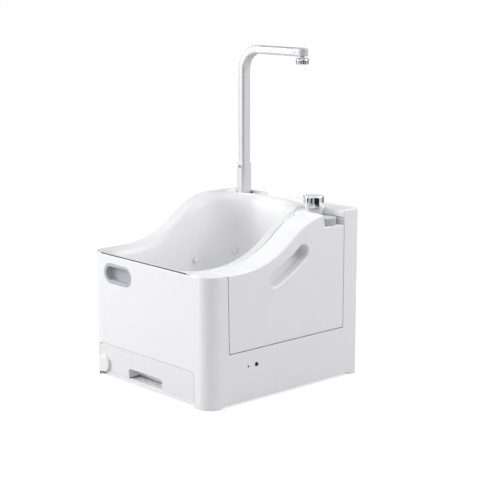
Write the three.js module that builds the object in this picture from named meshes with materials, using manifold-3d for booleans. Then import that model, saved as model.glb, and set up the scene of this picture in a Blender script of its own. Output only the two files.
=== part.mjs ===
// Portable handwash sink: a white moulded casing with a deep basin, a removable clean water tank on
// the right, a pull-out waste water drawer at the front and a swivelling, telescoping spout.
// Millimetres. +X is the sink's right, +Y its back, +Z up. The origin is on the table, under the
// centre of the overall box.

import * as THREE from "three";
import { ParametricGeometry } from "three/addons/geometries/ParametricGeometry.js";
import { mergeVertices } from "three/addons/utils/BufferGeometryUtils.js";
import Module from "manifold-3d";

const wasm = await Module();
wasm.setup();

// Casing
const WIDTH = 350;
const DEPTH = 380;
const PLUG_PROUD = 5;
const FRONT = -(DEPTH - PLUG_PROUD) / 2;
const BACK = FRONT + DEPTH;
const HALF = WIDTH / 2;
const WALL = 3;
const GAP = 0.4;
const FRONT_RADIUS = 30;
const REAR_RADIUS = 8;
const SHELL_BOTTOM = 1;

// Sweep of the side walls: level, then up through two arcs that meet at one slope, then level
const RIM_LOW = 244.5;
const RIM_HIGH = 326.5;
const SWEEP_START = FRONT + 74;
const SWEEP_RUN = 227;
const LOWER_ARC_SHARE = 0.59;
const SWEEP_RISE = RIM_HIGH - RIM_LOW;
const SWEEP_END = SWEEP_START + SWEEP_RUN;
const SWEEP_ANGLE = 2 * Math.atan(SWEEP_RISE / SWEEP_RUN);
const ARC_SUM = (SWEEP_RUN ** 2 + SWEEP_RISE ** 2) / (2 * SWEEP_RISE);
const LOWER_ARC = ARC_SUM * LOWER_ARC_SHARE;
const UPPER_ARC = ARC_SUM - LOWER_ARC;
const SKY = 360;

// Shadow gap along the top edge of the front wall
const GROOVE_LEFT = -141;
const GROOVE_RIGHT = 138;
const GROOVE_RAMP = 12;
const GROOVE_DEPTH = 2.3;

// Tank bay and tank
const TANK_LEFT = 119.2;
const TANK_BOTTOM = 100;
const TANK_FRONT = FRONT + 40;
const TANK_FRONT_LEAN = 5.5;
const TANK_BACK = FRONT + 338;
const TANK_WALL = 2.5;
const NOTCH_FRONT = FRONT + 275;
const NOTCH_LEAN = 12;
const NOTCH_FLOOR = 299.6;
const CAP_Y = FRONT + 314.4;
const CAP_X = 150.2;
const LINER_WALL = 3;
const SLOT_Y = FRONT + 196.8;
const SLOT_Z = 238;
const SLOT_SLOPE = 0.527;
const SLOT_ARC = 340;
const SLOT_LENGTH = 109;
const SLOT_WIDTH = 27.5;
const SLOT_DEPTH = 24.5;
const OUTLET_Y = FRONT + 300;
const OUTLET_Z = 116;
const OUTLET_RADIUS = 6;

// Basin
const BASIN_LEFT = -HALF + WALL + GAP;
const BASIN_RIGHT = 118.6;
const BASIN_FRONT = FRONT + WALL + 1.5;
const BASIN_BACK = FRONT + 352;
const BASIN_WALL = 3;
const BASIN_FLOOR = 102;
const LIP_DEPTH = 8;
const DRAIN_X = -28;
const DRAIN_Y = FRONT + 185;
const DRAIN_RADIUS = 22;

// Deck, spout and knob
const DECK_TOP = 322;
const DECK_BOTTOM = 313;
const DECK_RECESS_RIGHT = 86;
const SPOUT_X = -124;
const SPOUT_Y = FRONT + 354;
const SLEEVE_TOP = 386;
const SLEEVE_BOTTOM = 112;
const SLEEVE_WIDTH = 19.6;
const SLEEVE_DEPTH = 24.6;
const SLEEVE_WALL = 1.5;
const SLEEVE_RADIUS = 5.5;
const TUBE_WIDTH = 16;
const TUBE_DEPTH = 21;
const TUBE_RADIUS = 4;
const TUBE_WALL = 1.2;
const TUBE_BOTTOM = 305;
const SPOUT_TOP = 625;
const SPOUT_REACH = 166.5;
const BEND_RADIUS = 44;
const TUBE_AXIS_Z = SPOUT_TOP - TUBE_WIDTH / 2;
const KNOB_X = 110.8;
const KNOB_Y = FRONT + 319.7;
const KNOB_RADIUS = 20;
const KNOB_SEAT = RIM_HIGH;
const KNOB_TOP = 350;

// Waste drawer
const DRAWER_LEFT = -151;
const DRAWER_RIGHT = 132;
const DRAWER_BOTTOM = 13;
const DRAWER_TOP = 66.5;
const DRAWER_RADIUS = 11;
const DRAWER_LENGTH = 300;
const PULL_LEFT = -59;
const PULL_RIGHT = 40;
const PULL_TOP = 32;
const PULL_DEPTH = 26;
const PLUG_X = -133;
const PLUG_Z = 27;
const PLUG_RADIUS = 16.2;

// Front recess
const RECESS_X = -89.7;
const RECESS_Z = 208;
const RECESS_WIDTH = 83;
const RECESS_HEIGHT = 38;
const BEZEL_WIDTH = 5.5;

const WHITE = { color: 0xeeeef0, roughness: 0.35, metalness: 0 };
const PANEL = { color: 0xe2e2e5, roughness: 0.4, metalness: 0 };
const GREY = { color: 0xaeb0ba, roughness: 0.45, metalness: 0 };
const FROST = { color: 0xc4c5ca, roughness: 0.5, metalness: 0 };
const DARK = { color: 0x2a2b2e, roughness: 0.6, metalness: 0 };
const RUBBER = { color: 0x1e1f21, roughness: 0.85, metalness: 0 };
const CHROME = { color: 0xd8dade, roughness: 0.12, metalness: 1 };
const SATIN = { color: 0xc9cace, roughness: 0.3, metalness: 1 };
const STEEL = { color: 0xb5b7ba, roughness: 0.4, metalness: 1 };
const HOSE = { color: 0xd5d8da, roughness: 0.5, metalness: 0 };
const BOARD = { color: 0x2f6b46, roughness: 0.6, metalness: 0 };

const sink = new THREE.Group();

function piece(name, geometry, look) {
  const mesh = new THREE.Mesh(geometry, new THREE.MeshStandardMaterial(look));
  mesh.name = name;
  sink.add(mesh);
  return mesh;
}

// Booleans

function toSolid(geometry) {
  const plain = geometry.clone();
  plain.deleteAttribute("normal");
  plain.deleteAttribute("uv");
  const merged = mergeVertices(plain, 1e-4);
  const mesh = new wasm.Mesh({
    numProp: 3,
    vertProperties: new Float32Array(merged.attributes.position.array),
    triVerts: new Uint32Array(merged.index.array),
  });
  return new wasm.Manifold(mesh);
}

function toGeometry(solid) {
  const mesh = solid.getMesh();
  const geometry = new THREE.BufferGeometry();
  geometry.setAttribute("position", new THREE.BufferAttribute(new Float32Array(mesh.vertProperties), 3));
  geometry.setIndex(new THREE.BufferAttribute(new Uint32Array(mesh.triVerts), 1));
  return geometry;
}

function cut(geometry, ...tools) {
  const rest = tools.reduce((solid, tool) => solid.subtract(toSolid(tool)), toSolid(geometry));
  return toGeometry(rest);
}

function join(geometry, ...others) {
  const whole = others.reduce((solid, other) => solid.add(toSolid(other)), toSolid(geometry));
  return toGeometry(whole);
}

function common(geometry, other) {
  return toGeometry(toSolid(geometry).intersect(toSolid(other)));
}

// Shapes

function box(x0, x1, y0, y1, z0, z1) {
  const geometry = new THREE.BoxGeometry(x1 - x0, y1 - y0, z1 - z0);
  return geometry.translate((x0 + x1) / 2, (y0 + y1) / 2, (z0 + z1) / 2);
}

function roundedRect(x0, x1, y0, y1, radii) {
  const [lowLeft, lowRight, highRight, highLeft] = radii;
  const shape = new THREE.Shape();
  shape.absarc(x0 + lowLeft, y0 + lowLeft, lowLeft, Math.PI, 1.5 * Math.PI, false);
  shape.absarc(x1 - lowRight, y0 + lowRight, lowRight, 1.5 * Math.PI, 2 * Math.PI, false);
  shape.absarc(x1 - highRight, y1 - highRight, highRight, 0, 0.5 * Math.PI, false);
  shape.absarc(x0 + highLeft, y1 - highLeft, highLeft, 0.5 * Math.PI, Math.PI, false);
  return shape;
}

function evenRect(x0, x1, y0, y1, radius) {
  return roundedRect(x0, x1, y0, y1, [radius, radius, radius, radius]);
}

// A shape drawn in (x, y) and raised from z0 to z1
function upright(shape, z0, z1, segments = 6) {
  const options = { depth: z1 - z0, bevelEnabled: false, curveSegments: segments };
  return new THREE.ExtrudeGeometry(shape, options).translate(0, 0, z0);
}

// A shape drawn in (x, z) and carried from y0 to y1
function alongY(shape, y0, y1, segments = 6) {
  const options = { depth: y1 - y0, bevelEnabled: false, curveSegments: segments };
  return new THREE.ExtrudeGeometry(shape, options).rotateX(Math.PI / 2).translate(0, y1, 0);
}

// A shape drawn in (y, z) and carried from x0 to x1
function alongX(shape, x0, x1, segments = 6) {
  const options = { depth: x1 - x0, bevelEnabled: false, curveSegments: segments };
  const geometry = new THREE.ExtrudeGeometry(shape, options);
  return geometry.rotateX(Math.PI / 2).rotateZ(Math.PI / 2).translate(x0, 0, 0);
}

// A turned solid: profile points are [radius, height], and the axis is +Z before it is placed
function turned(profile, segments = 18) {
  const points = profile.map(([radius, height]) => new THREE.Vector2(radius, height));
  return new THREE.LatheGeometry(points, segments).rotateX(Math.PI / 2);
}

function disc(radius, z0, z1, segments = 18) {
  return turned([[0, z0], [radius, z0], [radius, z1], [0, z1]], segments);
}

function ring(inner, outer, z0, z1, segments = 18) {
  return turned([[inner, z0], [outer, z0], [outer, z1], [inner, z1], [inner, z0]], segments);
}

function hose(points, radius, steps) {
  const section = new THREE.Shape();
  section.absarc(0, 0, radius, 0, 2 * Math.PI, false);
  const route = new THREE.CatmullRomCurve3(points.map((point) => new THREE.Vector3(...point)));
  return new THREE.ExtrudeGeometry(section, { steps, curveSegments: 4, extrudePath: route });
}

// Everything above the sweep, lowered by drop, between x0 and x1
function sky(drop, x0, x1) {
  const shape = new THREE.Shape();
  const lowCentre = RIM_LOW - drop + LOWER_ARC;
  const highCentre = RIM_HIGH - drop - UPPER_ARC;
  shape.moveTo(FRONT - 20, RIM_LOW - drop);
  shape.lineTo(SWEEP_START, RIM_LOW - drop);
  shape.absarc(SWEEP_START, lowCentre, LOWER_ARC, -Math.PI / 2, -Math.PI / 2 + SWEEP_ANGLE, false);
  shape.absarc(SWEEP_END, highCentre, UPPER_ARC, Math.PI / 2 + SWEEP_ANGLE, Math.PI / 2, true);
  shape.lineTo(BACK + 20, RIM_HIGH - drop);
  shape.lineTo(BACK + 20, SKY);
  shape.lineTo(FRONT - 20, SKY);
  return alongX(shape, x0, x1, 10);
}

function sweepHeight(y) {
  if (y <= SWEEP_START) return RIM_LOW;
  if (y >= SWEEP_END) return RIM_HIGH;
  const meeting = SWEEP_START + LOWER_ARC * Math.sin(SWEEP_ANGLE);
  if (y < meeting) return RIM_LOW + LOWER_ARC - Math.sqrt(LOWER_ARC ** 2 - (y - SWEEP_START) ** 2);
  return RIM_HIGH - UPPER_ARC + Math.sqrt(UPPER_ARC ** 2 - (SWEEP_END - y) ** 2);
}

function footprint(inset, z0, z1) {
  const front = FRONT_RADIUS - inset;
  const rear = Math.max(REAR_RADIUS - inset, 1);
  const radii = [front, front, rear, rear];
  const shape = roundedRect(-HALF + inset, HALF - inset, FRONT + inset, BACK - inset, radii);
  return upright(shape, z0, z1, 8);
}

// Side outline of the tank, grown outwards by grow
function tankOutline(grow, top) {
  const shape = new THREE.Shape();
  shape.moveTo(TANK_FRONT + TANK_FRONT_LEAN - grow, TANK_BOTTOM - grow);
  shape.lineTo(TANK_BACK + grow, TANK_BOTTOM - grow);
  shape.lineTo(TANK_BACK + grow, top);
  shape.lineTo(TANK_FRONT - grow, top);
  return shape;
}

// Slot that runs along an arc: its centre line has the given radius and half angle
function bentSlot(y, z, slope, radius, length, width) {
  const half = (length - width) / 2 / radius;
  const middle = slope - Math.PI / 2;
  const centreY = y - radius * Math.cos(middle);
  const centreZ = z - radius * Math.sin(middle);
  const end = (angle) => [centreY + radius * Math.cos(angle), centreZ + radius * Math.sin(angle)];
  const [startY, startZ] = end(middle - half);
  const [stopY, stopZ] = end(middle + half);
  const shape = new THREE.Shape();
  shape.absarc(centreY, centreZ, radius + width / 2, middle - half, middle + half, false);
  shape.absarc(stopY, stopZ, width / 2, middle + half, middle + half + Math.PI, false);
  shape.absarc(centreY, centreZ, radius - width / 2, middle + half, middle - half, true);
  shape.absarc(startY, startZ, width / 2, middle - half + Math.PI, middle - half + 2 * Math.PI, false);
  return shape;
}

// Outline of the front recess's bezel, drawn in by shrink
function recessOutline(shrink) {
  return evenRect(
    RECESS_X - RECESS_WIDTH / 2 + shrink,
    RECESS_X + RECESS_WIDTH / 2 - shrink,
    RECESS_Z - RECESS_HEIGHT / 2 + shrink,
    RECESS_Z + RECESS_HEIGHT / 2 - shrink,
    RECESS_HEIGHT / 2 - shrink,
  );
}

const REAR_NOTCH = box(-81, -22, FRONT + 356, BACK + 5, 316, SKY);

// Casing

function outerShell() {
  const hollow = footprint(WALL, 0, SKY);
  const walls = cut(footprint(0, SHELL_BOTTOM, RIM_HIGH), hollow);
  const web = common(box(119.2, HALF, FRONT + 1, TANK_FRONT - GAP, 239, 246), footprint(0.5, 230, 250));
  const bosses = [-1, 1].flatMap((side) =>
    [FRONT + 45, BACK - 30].map((y) => disc(6, 12, 60, 12).translate(side * (HALF - 8), y, 0)),
  );
  const drilled = [-1, 1].flatMap((side) =>
    [FRONT + 45, BACK - 30].map((y) => disc(2, 0, 30, 12).translate(side * (HALF - 8), y, 0)),
  );
  const drawerMouth = roundedRect(DRAWER_LEFT - 0.6, DRAWER_RIGHT + 0.6, -5, DRAWER_TOP + 0.6, [
    1, 1, DRAWER_RADIUS, DRAWER_RADIUS,
  ]);
  const groove = new THREE.Shape();
  groove.moveTo(GROOVE_LEFT - GROOVE_RAMP, RIM_LOW + 1);
  groove.lineTo(GROOVE_LEFT, RIM_LOW - GROOVE_DEPTH);
  groove.lineTo(GROOVE_RIGHT, RIM_LOW - GROOVE_DEPTH);
  groove.lineTo(GROOVE_RIGHT + GROOVE_RAMP, RIM_LOW + 1);
  return cut(
    join(walls, web, ...bosses),
    ...drilled,
    alongY(groove, FRONT - 1, FRONT + WALL + 0.5),
    sky(0, -HALF - 5, HALF + 5),
    alongY(drawerMouth, FRONT - 2, FRONT + 12),
    alongY(recessOutline(-GAP), FRONT - 2, FRONT + 12),
    alongX(tankOutline(1.2, SKY), 120, HALF + 5),
    disc(2, -6, 6, 12).rotateY(Math.PI / 2).translate(HALF, FRONT + 93.4, 69),
    disc(4.2, -6, 6, 16).rotateY(Math.PI / 2).translate(HALF, FRONT + 113.3, 69.5),
    box(-HALF - 2, HALF + 2, FRONT + 26, BACK - 16, -2, 5.4),
    box(-HALF + 16, HALF - 16, BACK - 20, BACK + 2, -2, 5.4),
    REAR_NOTCH,
  );
}

function basePlate() {
  const strip = box(DRAWER_LEFT - 0.2, DRAWER_RIGHT + 0.2, FRONT, FRONT + 8, 8.2, 12.6);
  const plate = join(footprint(WALL + GAP, 8.2, 11.4), strip);
  const ribs = [...Array(7).keys()].map((rib) => {
    const x = PULL_LEFT + 13 + 12 * rib;
    return box(x, x + 4, FRONT + 7, FRONT + 24, 11, 12.6);
  });
  const holes = [-1, 1].flatMap((side) =>
    [FRONT + 45, BACK - 30].map((y) => disc(2.4, 0, 30, 12).translate(side * (HALF - 8), y, 0)),
  );
  return cut(join(plate, ...ribs), ...holes);
}

// Basin

const RIM = {
  left: BASIN_LEFT, right: BASIN_RIGHT, front: BASIN_FRONT, back: BASIN_BACK,
  radii: [FRONT_RADIUS - WALL, 12, 118, 110],
};
const CREST = {
  left: BASIN_LEFT + 24, right: BASIN_RIGHT - 24, front: BASIN_FRONT + 11, back: BASIN_BACK - 9,
  radii: [34, 52, 100, 88],
};
const FLOOR = {
  left: BASIN_LEFT + 56, right: BASIN_RIGHT - 56, front: BASIN_FRONT + 42, back: BASIN_BACK - 42,
  radii: [50, 50, 60, 60],
};
const DRAIN = {
  left: DRAIN_X - DRAIN_RADIUS, right: DRAIN_X + DRAIN_RADIUS,
  front: DRAIN_Y - DRAIN_RADIUS, back: DRAIN_Y + DRAIN_RADIUS,
  radii: [DRAIN_RADIUS, DRAIN_RADIUS, DRAIN_RADIUS, DRAIN_RADIUS],
};
const LOOPS = [RIM, CREST, FLOOR, DRAIN];
const CORNER_STEPS = 6;
const SIDE_STEPS = [2, 9, 2, 9];
const LOOP_STEPS = 4 * CORNER_STEPS + 22;

function blend(low, high, share) {
  return low + (high - low) * share;
}

function loopAt(level) {
  const index = Math.min(Math.floor(level), LOOPS.length - 2);
  const share = level - index;
  const [from, to] = [LOOPS[index], LOOPS[index + 1]];
  return {
    left: blend(from.left, to.left, share),
    right: blend(from.right, to.right, share),
    front: blend(from.front, to.front, share),
    back: blend(from.back, to.back, share),
    radii: from.radii.map((radius, corner) => blend(radius, to.radii[corner], share)),
  };
}

// Points of a rounded loop, anticlockwise from the front left corner, grown outwards by grow
function loopPoint(loop, step, grow) {
  const corners = [
    [loop.left, loop.front, 1, 1],
    [loop.right, loop.front, -1, 1],
    [loop.right, loop.back, -1, -1],
    [loop.left, loop.back, 1, -1],
  ];
  let rest = step % LOOP_STEPS;
  for (let corner = 0; corner < 4; corner += 1) {
    const arcPoint = (index, share) => {
      const [x, y, inX, inY] = corners[index];
      const radius = loop.radii[index];
      const angle = Math.PI * (1 + index / 2 + share / 2);
      return [
        x + inX * radius + (radius + grow) * Math.cos(angle),
        y + inY * radius + (radius + grow) * Math.sin(angle),
      ];
    };
    if (rest <= CORNER_STEPS) return arcPoint(corner, rest / CORNER_STEPS);
    rest -= CORNER_STEPS;
    const side = SIDE_STEPS[corner];
    if (rest < side) {
      const [x0, y0] = arcPoint(corner, 1);
      const [x1, y1] = arcPoint((corner + 1) % 4, 0);
      return [blend(x0, x1, rest / side), blend(y0, y1, rest / side)];
    }
    rest -= side;
  }
  return loopPoint(loop, 0, grow);
}

// Section of the bowl from the rim's outer edge to the drain: loop level, height below the sweep,
// fixed height, and how far the height is fixed
const BOWL_SECTION = [
  { level: 0, drop: 1.5, height: 0, fixed: 0 },
  { level: 0.06, drop: 0.6, height: 0, fixed: 0 },
  { level: 0.5, drop: 1.8, height: 0, fixed: 0 },
  { level: 0.85, drop: 4, height: 0, fixed: 0 },
  { level: 1, drop: 6.5, height: 0, fixed: 0 },
  { level: 1.12, drop: 12, height: 0, fixed: 0 },
  { level: 1.22, drop: 24, height: 0, fixed: 0 },
  { level: 1.36, drop: 60, height: 190, fixed: 0.5 },
  { level: 1.55, drop: 0, height: 145, fixed: 1 },
  { level: 1.75, drop: 0, height: 118, fixed: 1 },
  { level: 2, drop: 0, height: 106, fixed: 1 },
  { level: 2.4, drop: 0, height: BASIN_FLOOR + 2, fixed: 1 },
  { level: 3, drop: 0, height: BASIN_FLOOR, fixed: 1 },
];

function basinShell() {
  const count = BOWL_SECTION.length;
  const steps = 2 * count;
  const surface = (u, v, target) => {
    const row = Math.round(v * steps) % steps;
    const inner = row < count;
    const point = BOWL_SECTION[inner ? row : steps - 1 - row];
    const grow = inner || point.level < 0.1 || point.level > 2.9 ? 0 : BASIN_WALL * 0.8;
    const under = point.level < 0.1 ? LIP_DEPTH * (1 - point.level) : BASIN_WALL;
    const [x, y] = loopPoint(loopAt(point.level), Math.round(u * LOOP_STEPS), grow);
    const top = blend(sweepHeight(y) - point.drop, point.height, point.fixed);
    target.set(x, y, inner ? top : top - under);
  };
  return new ParametricGeometry(surface, LOOP_STEPS, steps);
}

function flipIfInside(geometry) {
  const plain = geometry.clone();
  plain.deleteAttribute("normal");
  plain.deleteAttribute("uv");
  const merged = mergeVertices(plain, 1e-4);
  const volume = signedVolume(merged);
  if (volume < 0) merged.index.array.reverse();
  return merged;
}

function signedVolume(geometry) {
  const { position } = geometry.attributes;
  const index = geometry.index.array;
  const [a, b, c] = [new THREE.Vector3(), new THREE.Vector3(), new THREE.Vector3()];
  let sum = 0;
  for (let i = 0; i < index.length; i += 3) {
    a.fromBufferAttribute(position, index[i]);
    b.fromBufferAttribute(position, index[i + 1]);
    c.fromBufferAttribute(position, index[i + 2]);
    sum += a.dot(b.cross(c)) / 6;
  }
  return sum;
}

// Rear deck: the recessed shelf behind the basin, under the sweep's top

function rearDeck() {
  const block = common(
    footprint(WALL + GAP, DECK_BOTTOM, RIM_HIGH + 2),
    box(-HALF, HALF, FRONT + 266, BACK, 300, 340),
  );
  const radii = RIM.radii.map((radius) => radius + GAP);
  const rimLoop = roundedRect(RIM.left - GAP, RIM.right + GAP, RIM.front - GAP, RIM.back + GAP, radii);
  const recess = common(
    footprint(WALL + 6, DECK_TOP, SKY),
    box(-HALF, DECK_RECESS_RIGHT, FRONT + 290, BACK, 300, SKY),
  );
  return cut(
    block,
    upright(rimLoop, 300, SKY, 12),
    sky(0, -HALF, HALF),
    recess,
    box(BASIN_RIGHT + GAP, HALF, FRONT + 200, TANK_BACK + 1, 300, SKY),
    disc(17.5, 300, SKY, 32).translate(SPOUT_X, SPOUT_Y, 0),
    disc(6, 300, SKY, 16).translate(KNOB_X, KNOB_Y, 0),
    REAR_NOTCH,
  );
}

// Tank bay and tank

function bayLiner() {
  const left = TANK_LEFT - GAP;
  const right = HALF - WALL - GAP;
  const outer = box(left - LINER_WALL, right, TANK_FRONT - 5, TANK_BACK + 4, 96.4, 312.5);
  const inner = box(left, HALF, TANK_FRONT - 1.2, TANK_BACK + 1, TANK_BOTTOM - 0.4, SKY);
  const shaft = facingRight(disc(OUTLET_RADIUS + 1, -20, 20, 16), TANK_LEFT, OUTLET_Y, OUTLET_Z);
  return cut(outer, inner, shaft, sky(10.5, 100, HALF));
}

function tankShell() {
  const body = alongX(tankOutline(0, SKY), TANK_LEFT, HALF);
  const cavity = alongX(tankOutline(-TANK_WALL, SKY), TANK_LEFT + TANK_WALL, HALF - TANK_WALL);
  const notch = (grow, x0, x1) => {
    const shape = new THREE.Shape();
    shape.moveTo(NOTCH_FRONT - grow, SKY);
    shape.lineTo(NOTCH_FRONT + NOTCH_LEAN - grow, NOTCH_FLOOR - grow);
    shape.lineTo(TANK_BACK + 10, NOTCH_FLOOR - grow);
    shape.lineTo(TANK_BACK + 10, SKY);
    return alongX(shape, x0, x1);
  };
  const slot = bentSlot(SLOT_Y, SLOT_Z, SLOT_SLOPE, SLOT_ARC, SLOT_LENGTH, SLOT_WIDTH);
  const slotCup = bentSlot(SLOT_Y, SLOT_Z, SLOT_SLOPE, SLOT_ARC, SLOT_LENGTH + 5, SLOT_WIDTH + 5);
  const hollow = cut(
    cavity,
    sky(TANK_WALL, 100, 200),
    notch(TANK_WALL, 100, 200),
    alongX(slotCup, HALF - SLOT_DEPTH - TANK_WALL, HALF, 5),
  );
  const neck = disc(15, NOTCH_FLOOR - 1, 309).translate(CAP_X, CAP_Y, 0);
  const mouth = disc(12.5, NOTCH_FLOOR - 10, 320).translate(CAP_X, CAP_Y, 0);
  const outlet = facingRight(disc(OUTLET_RADIUS - 1, -4, 4, 16), TANK_LEFT, OUTLET_Y, OUTLET_Z);
  const finger = alongX(slot, HALF - SLOT_DEPTH, HALF + 1, 5);
  const skin = cut(body, sky(0, 100, 200), notch(0, 100, 200), hollow, finger);
  return cut(join(skin, neck), mouth, outlet);
}

function ribbedCap() {
  const RIBS = 30;
  const outline = new THREE.Shape();
  for (let rib = 0; rib < RIBS; rib += 1) {
    const start = (2 * Math.PI * rib) / RIBS;
    outline.absarc(0, 0, 18.2, start, start + Math.PI / RIBS, false);
    outline.absarc(0, 0, 19, start + (1.2 * Math.PI) / RIBS, start + (1.8 * Math.PI) / RIBS, false);
  }
  const body = upright(outline, NOTCH_FLOOR + 0.6, 314, 1);
  return cut(body, disc(15.5, NOTCH_FLOOR, 310.6)).translate(CAP_X, CAP_Y, 0);
}

// Waste drawer

function wasteTray() {
  const radii = [1, 1, DRAWER_RADIUS, DRAWER_RADIUS];
  const face = roundedRect(DRAWER_LEFT, DRAWER_RIGHT, DRAWER_BOTTOM, DRAWER_TOP, radii);
  const front = alongY(face, FRONT, FRONT + WALL);
  const left = DRAWER_LEFT + 6;
  const right = DRAWER_RIGHT - 6;
  const tub = cut(
    box(left, right, FRONT + 2, FRONT + DRAWER_LENGTH, DRAWER_BOTTOM + 1, 60),
    box(left + 2.4, right - 2.4, FRONT + 5, FRONT + DRAWER_LENGTH - 2.4, DRAWER_BOTTOM + 3.4, 70),
  );
  const pull = evenRect(PULL_LEFT, PULL_RIGHT, DRAWER_BOTTOM - 12, PULL_TOP, 5);
  const pullShell = box(
    PULL_LEFT - 2.4, PULL_RIGHT + 2.4,
    FRONT + 2, FRONT + PULL_DEPTH + 2.4,
    DRAWER_BOTTOM + 1, PULL_TOP + 2.4,
  );
  const plugHole = disc(9.5, -20, 20, 20).rotateX(Math.PI / 2).translate(PLUG_X, FRONT, PLUG_Z);
  return cut(join(front, tub, pullShell), alongY(pull, FRONT - 1, FRONT + PULL_DEPTH), plugHole);
}

function wasteLid() {
  const rear = FRONT + DRAWER_LENGTH;
  const plate = box(DRAWER_LEFT + 6, DRAWER_RIGHT - 6, FRONT + WALL + GAP, rear, 60.3, 62.7);
  return cut(plate, disc(32, 50, 80, 32).translate(DRAIN_X, DRAIN_Y, 0));
}

// Front recess

function gripBezel() {
  return cut(
    alongY(recessOutline(0), FRONT, FRONT + 3.2),
    alongY(recessOutline(BEZEL_WIDTH), FRONT - 1, FRONT + 9),
  );
}

function gripCup() {
  return cut(
    alongY(recessOutline(BEZEL_WIDTH - 2.4), FRONT + 3.6, FRONT + 16),
    alongY(recessOutline(BEZEL_WIDTH), FRONT, FRONT + 14),
  );
}

// Spout

function rectTube(outerX, outerY, wall, z0, z1, radius) {
  const outer = upright(evenRect(-outerX / 2, outerX / 2, -outerY / 2, outerY / 2, radius), z0, z1, 3);
  const inner = upright(
    evenRect(-outerX / 2 + wall, outerX / 2 - wall, -outerY / 2 + wall, outerY / 2 - wall, radius - wall),
    z0 - 1, z1 + 1, 3,
  );
  return cut(outer, inner);
}

function spoutSleeve() {
  const tube = rectTube(SLEEVE_WIDTH, SLEEVE_DEPTH, SLEEVE_WALL, SLEEVE_BOTTOM, SLEEVE_TOP, SLEEVE_RADIUS);
  const collar = disc(14.6, 315, 323);
  const halfX = SLEEVE_WIDTH / 2 - SLEEVE_WALL;
  const halfY = SLEEVE_DEPTH / 2 - SLEEVE_WALL;
  const bore = upright(evenRect(-halfX, halfX, -halfY, halfY, SLEEVE_RADIUS - SLEEVE_WALL), 300, 330, 3);
  const buttonHole = disc(2.6, -20, 0, 16).rotateX(-Math.PI / 2).translate(0, 0, 378);
  return cut(join(tube, collar), bore, buttonHole).translate(SPOUT_X, SPOUT_Y, 0);
}

// Straight up the middle of the sleeve, round the bend and out level
class SpoutRoute extends THREE.Curve {
  getPoint(t) {
    const bend = THREE.MathUtils.clamp((t - 0.1) / 0.8, 0, 1) * (Math.PI / 2);
    const point = new THREE.Vector3(
      BEND_RADIUS * (1 - Math.cos(bend)),
      0,
      TUBE_AXIS_Z - BEND_RADIUS * (1 - Math.sin(bend)),
    );
    if (t < 0.1) point.z = blend(TUBE_BOTTOM, point.z, t / 0.1);
    if (t > 0.9) point.x = blend(BEND_RADIUS, SPOUT_REACH - 14.5, (t - 0.9) / 0.1);
    return point;
  }

  getTangent(t) {
    const bend = THREE.MathUtils.clamp((t - 0.1) / 0.8, 0, 1) * (Math.PI / 2);
    return new THREE.Vector3(Math.sin(bend), 0, Math.cos(bend));
  }

  getPointAt(u) {
    return this.getPoint(u);
  }

  getTangentAt(u) {
    return this.getTangent(u);
  }
}

function spoutTube() {
  const section = evenRect(-TUBE_DEPTH / 2, TUBE_DEPTH / 2, -TUBE_WIDTH / 2, TUBE_WIDTH / 2, TUBE_RADIUS);
  const across = TUBE_DEPTH / 2 - TUBE_WALL;
  const through = TUBE_WIDTH / 2 - TUBE_WALL;
  section.holes.push(evenRect(-across, across, -through, through, TUBE_RADIUS - TUBE_WALL));
  const options = { steps: 10, curveSegments: 3, extrudePath: new SpoutRoute() };
  return new THREE.ExtrudeGeometry(section, options).translate(SPOUT_X, SPOUT_Y, 0);
}

// Chrome end of the spout: square towards the tube, half round at the nose
function spoutEndCap() {
  const shape = new THREE.Shape();
  const radius = TUBE_DEPTH / 2;
  shape.moveTo(-14, -radius);
  shape.absarc(0, 0, radius, -Math.PI / 2, Math.PI / 2, false);
  shape.lineTo(-14, radius);
  const body = upright(shape, SPOUT_TOP - TUBE_WIDTH, SPOUT_TOP, 10);
  return body.translate(SPOUT_X + SPOUT_REACH, SPOUT_Y, 0);
}

const AERATOR_X = SPOUT_X + SPOUT_REACH;
const NECK_TOP = SPOUT_TOP - TUBE_WIDTH - 0.4;
const BALL_Z = NECK_TOP - 4.2;
const BALL_RADIUS = 4.5;
const NECK_RADIUS = 4.4;
const AERATOR_HEIGHT = 12;

function aeratorNeck() {
  const angles = [...Array(8).keys()].map((step) => -Math.PI / 2 + (step * Math.PI) / 10);
  const ball = angles.map((angle) => [
    BALL_RADIUS * Math.cos(angle),
    BALL_Z + BALL_RADIUS * Math.sin(angle),
  ]);
  const profile = [
    [0, BALL_Z - BALL_RADIUS], ...ball.slice(1),
    [NECK_RADIUS, BALL_Z + 3], [NECK_RADIUS, NECK_TOP], [0, NECK_TOP],
  ];
  return turned(profile, 20).translate(AERATOR_X, SPOUT_Y, 0);
}

function aeratorBody() {
  const top = BALL_Z + 1.5;
  const outer = turned([
    [0, top - AERATOR_HEIGHT], [11.2, top - AERATOR_HEIGHT], [12.2, top - AERATOR_HEIGHT + 1],
    [12.6, top - 4], [11.5, top - 1], [8.5, top], [0, top],
  ]);
  const ball = new THREE.SphereGeometry(BALL_RADIUS + 0.5, 20, 14);
  const socket = ball.rotateX(Math.PI / 2).translate(0, 0, BALL_Z);
  const throat = turned([[0, BALL_Z], [4.4, BALL_Z], [8, top + 2], [0, top + 2]], 20);
  const bore = disc(9.5, top - AERATOR_HEIGHT - 1, BALL_Z - BALL_RADIUS - 0.2);
  return cut(outer, socket, throat, bore).translate(AERATOR_X, SPOUT_Y, 0);
}

// Knob and valve

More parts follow.
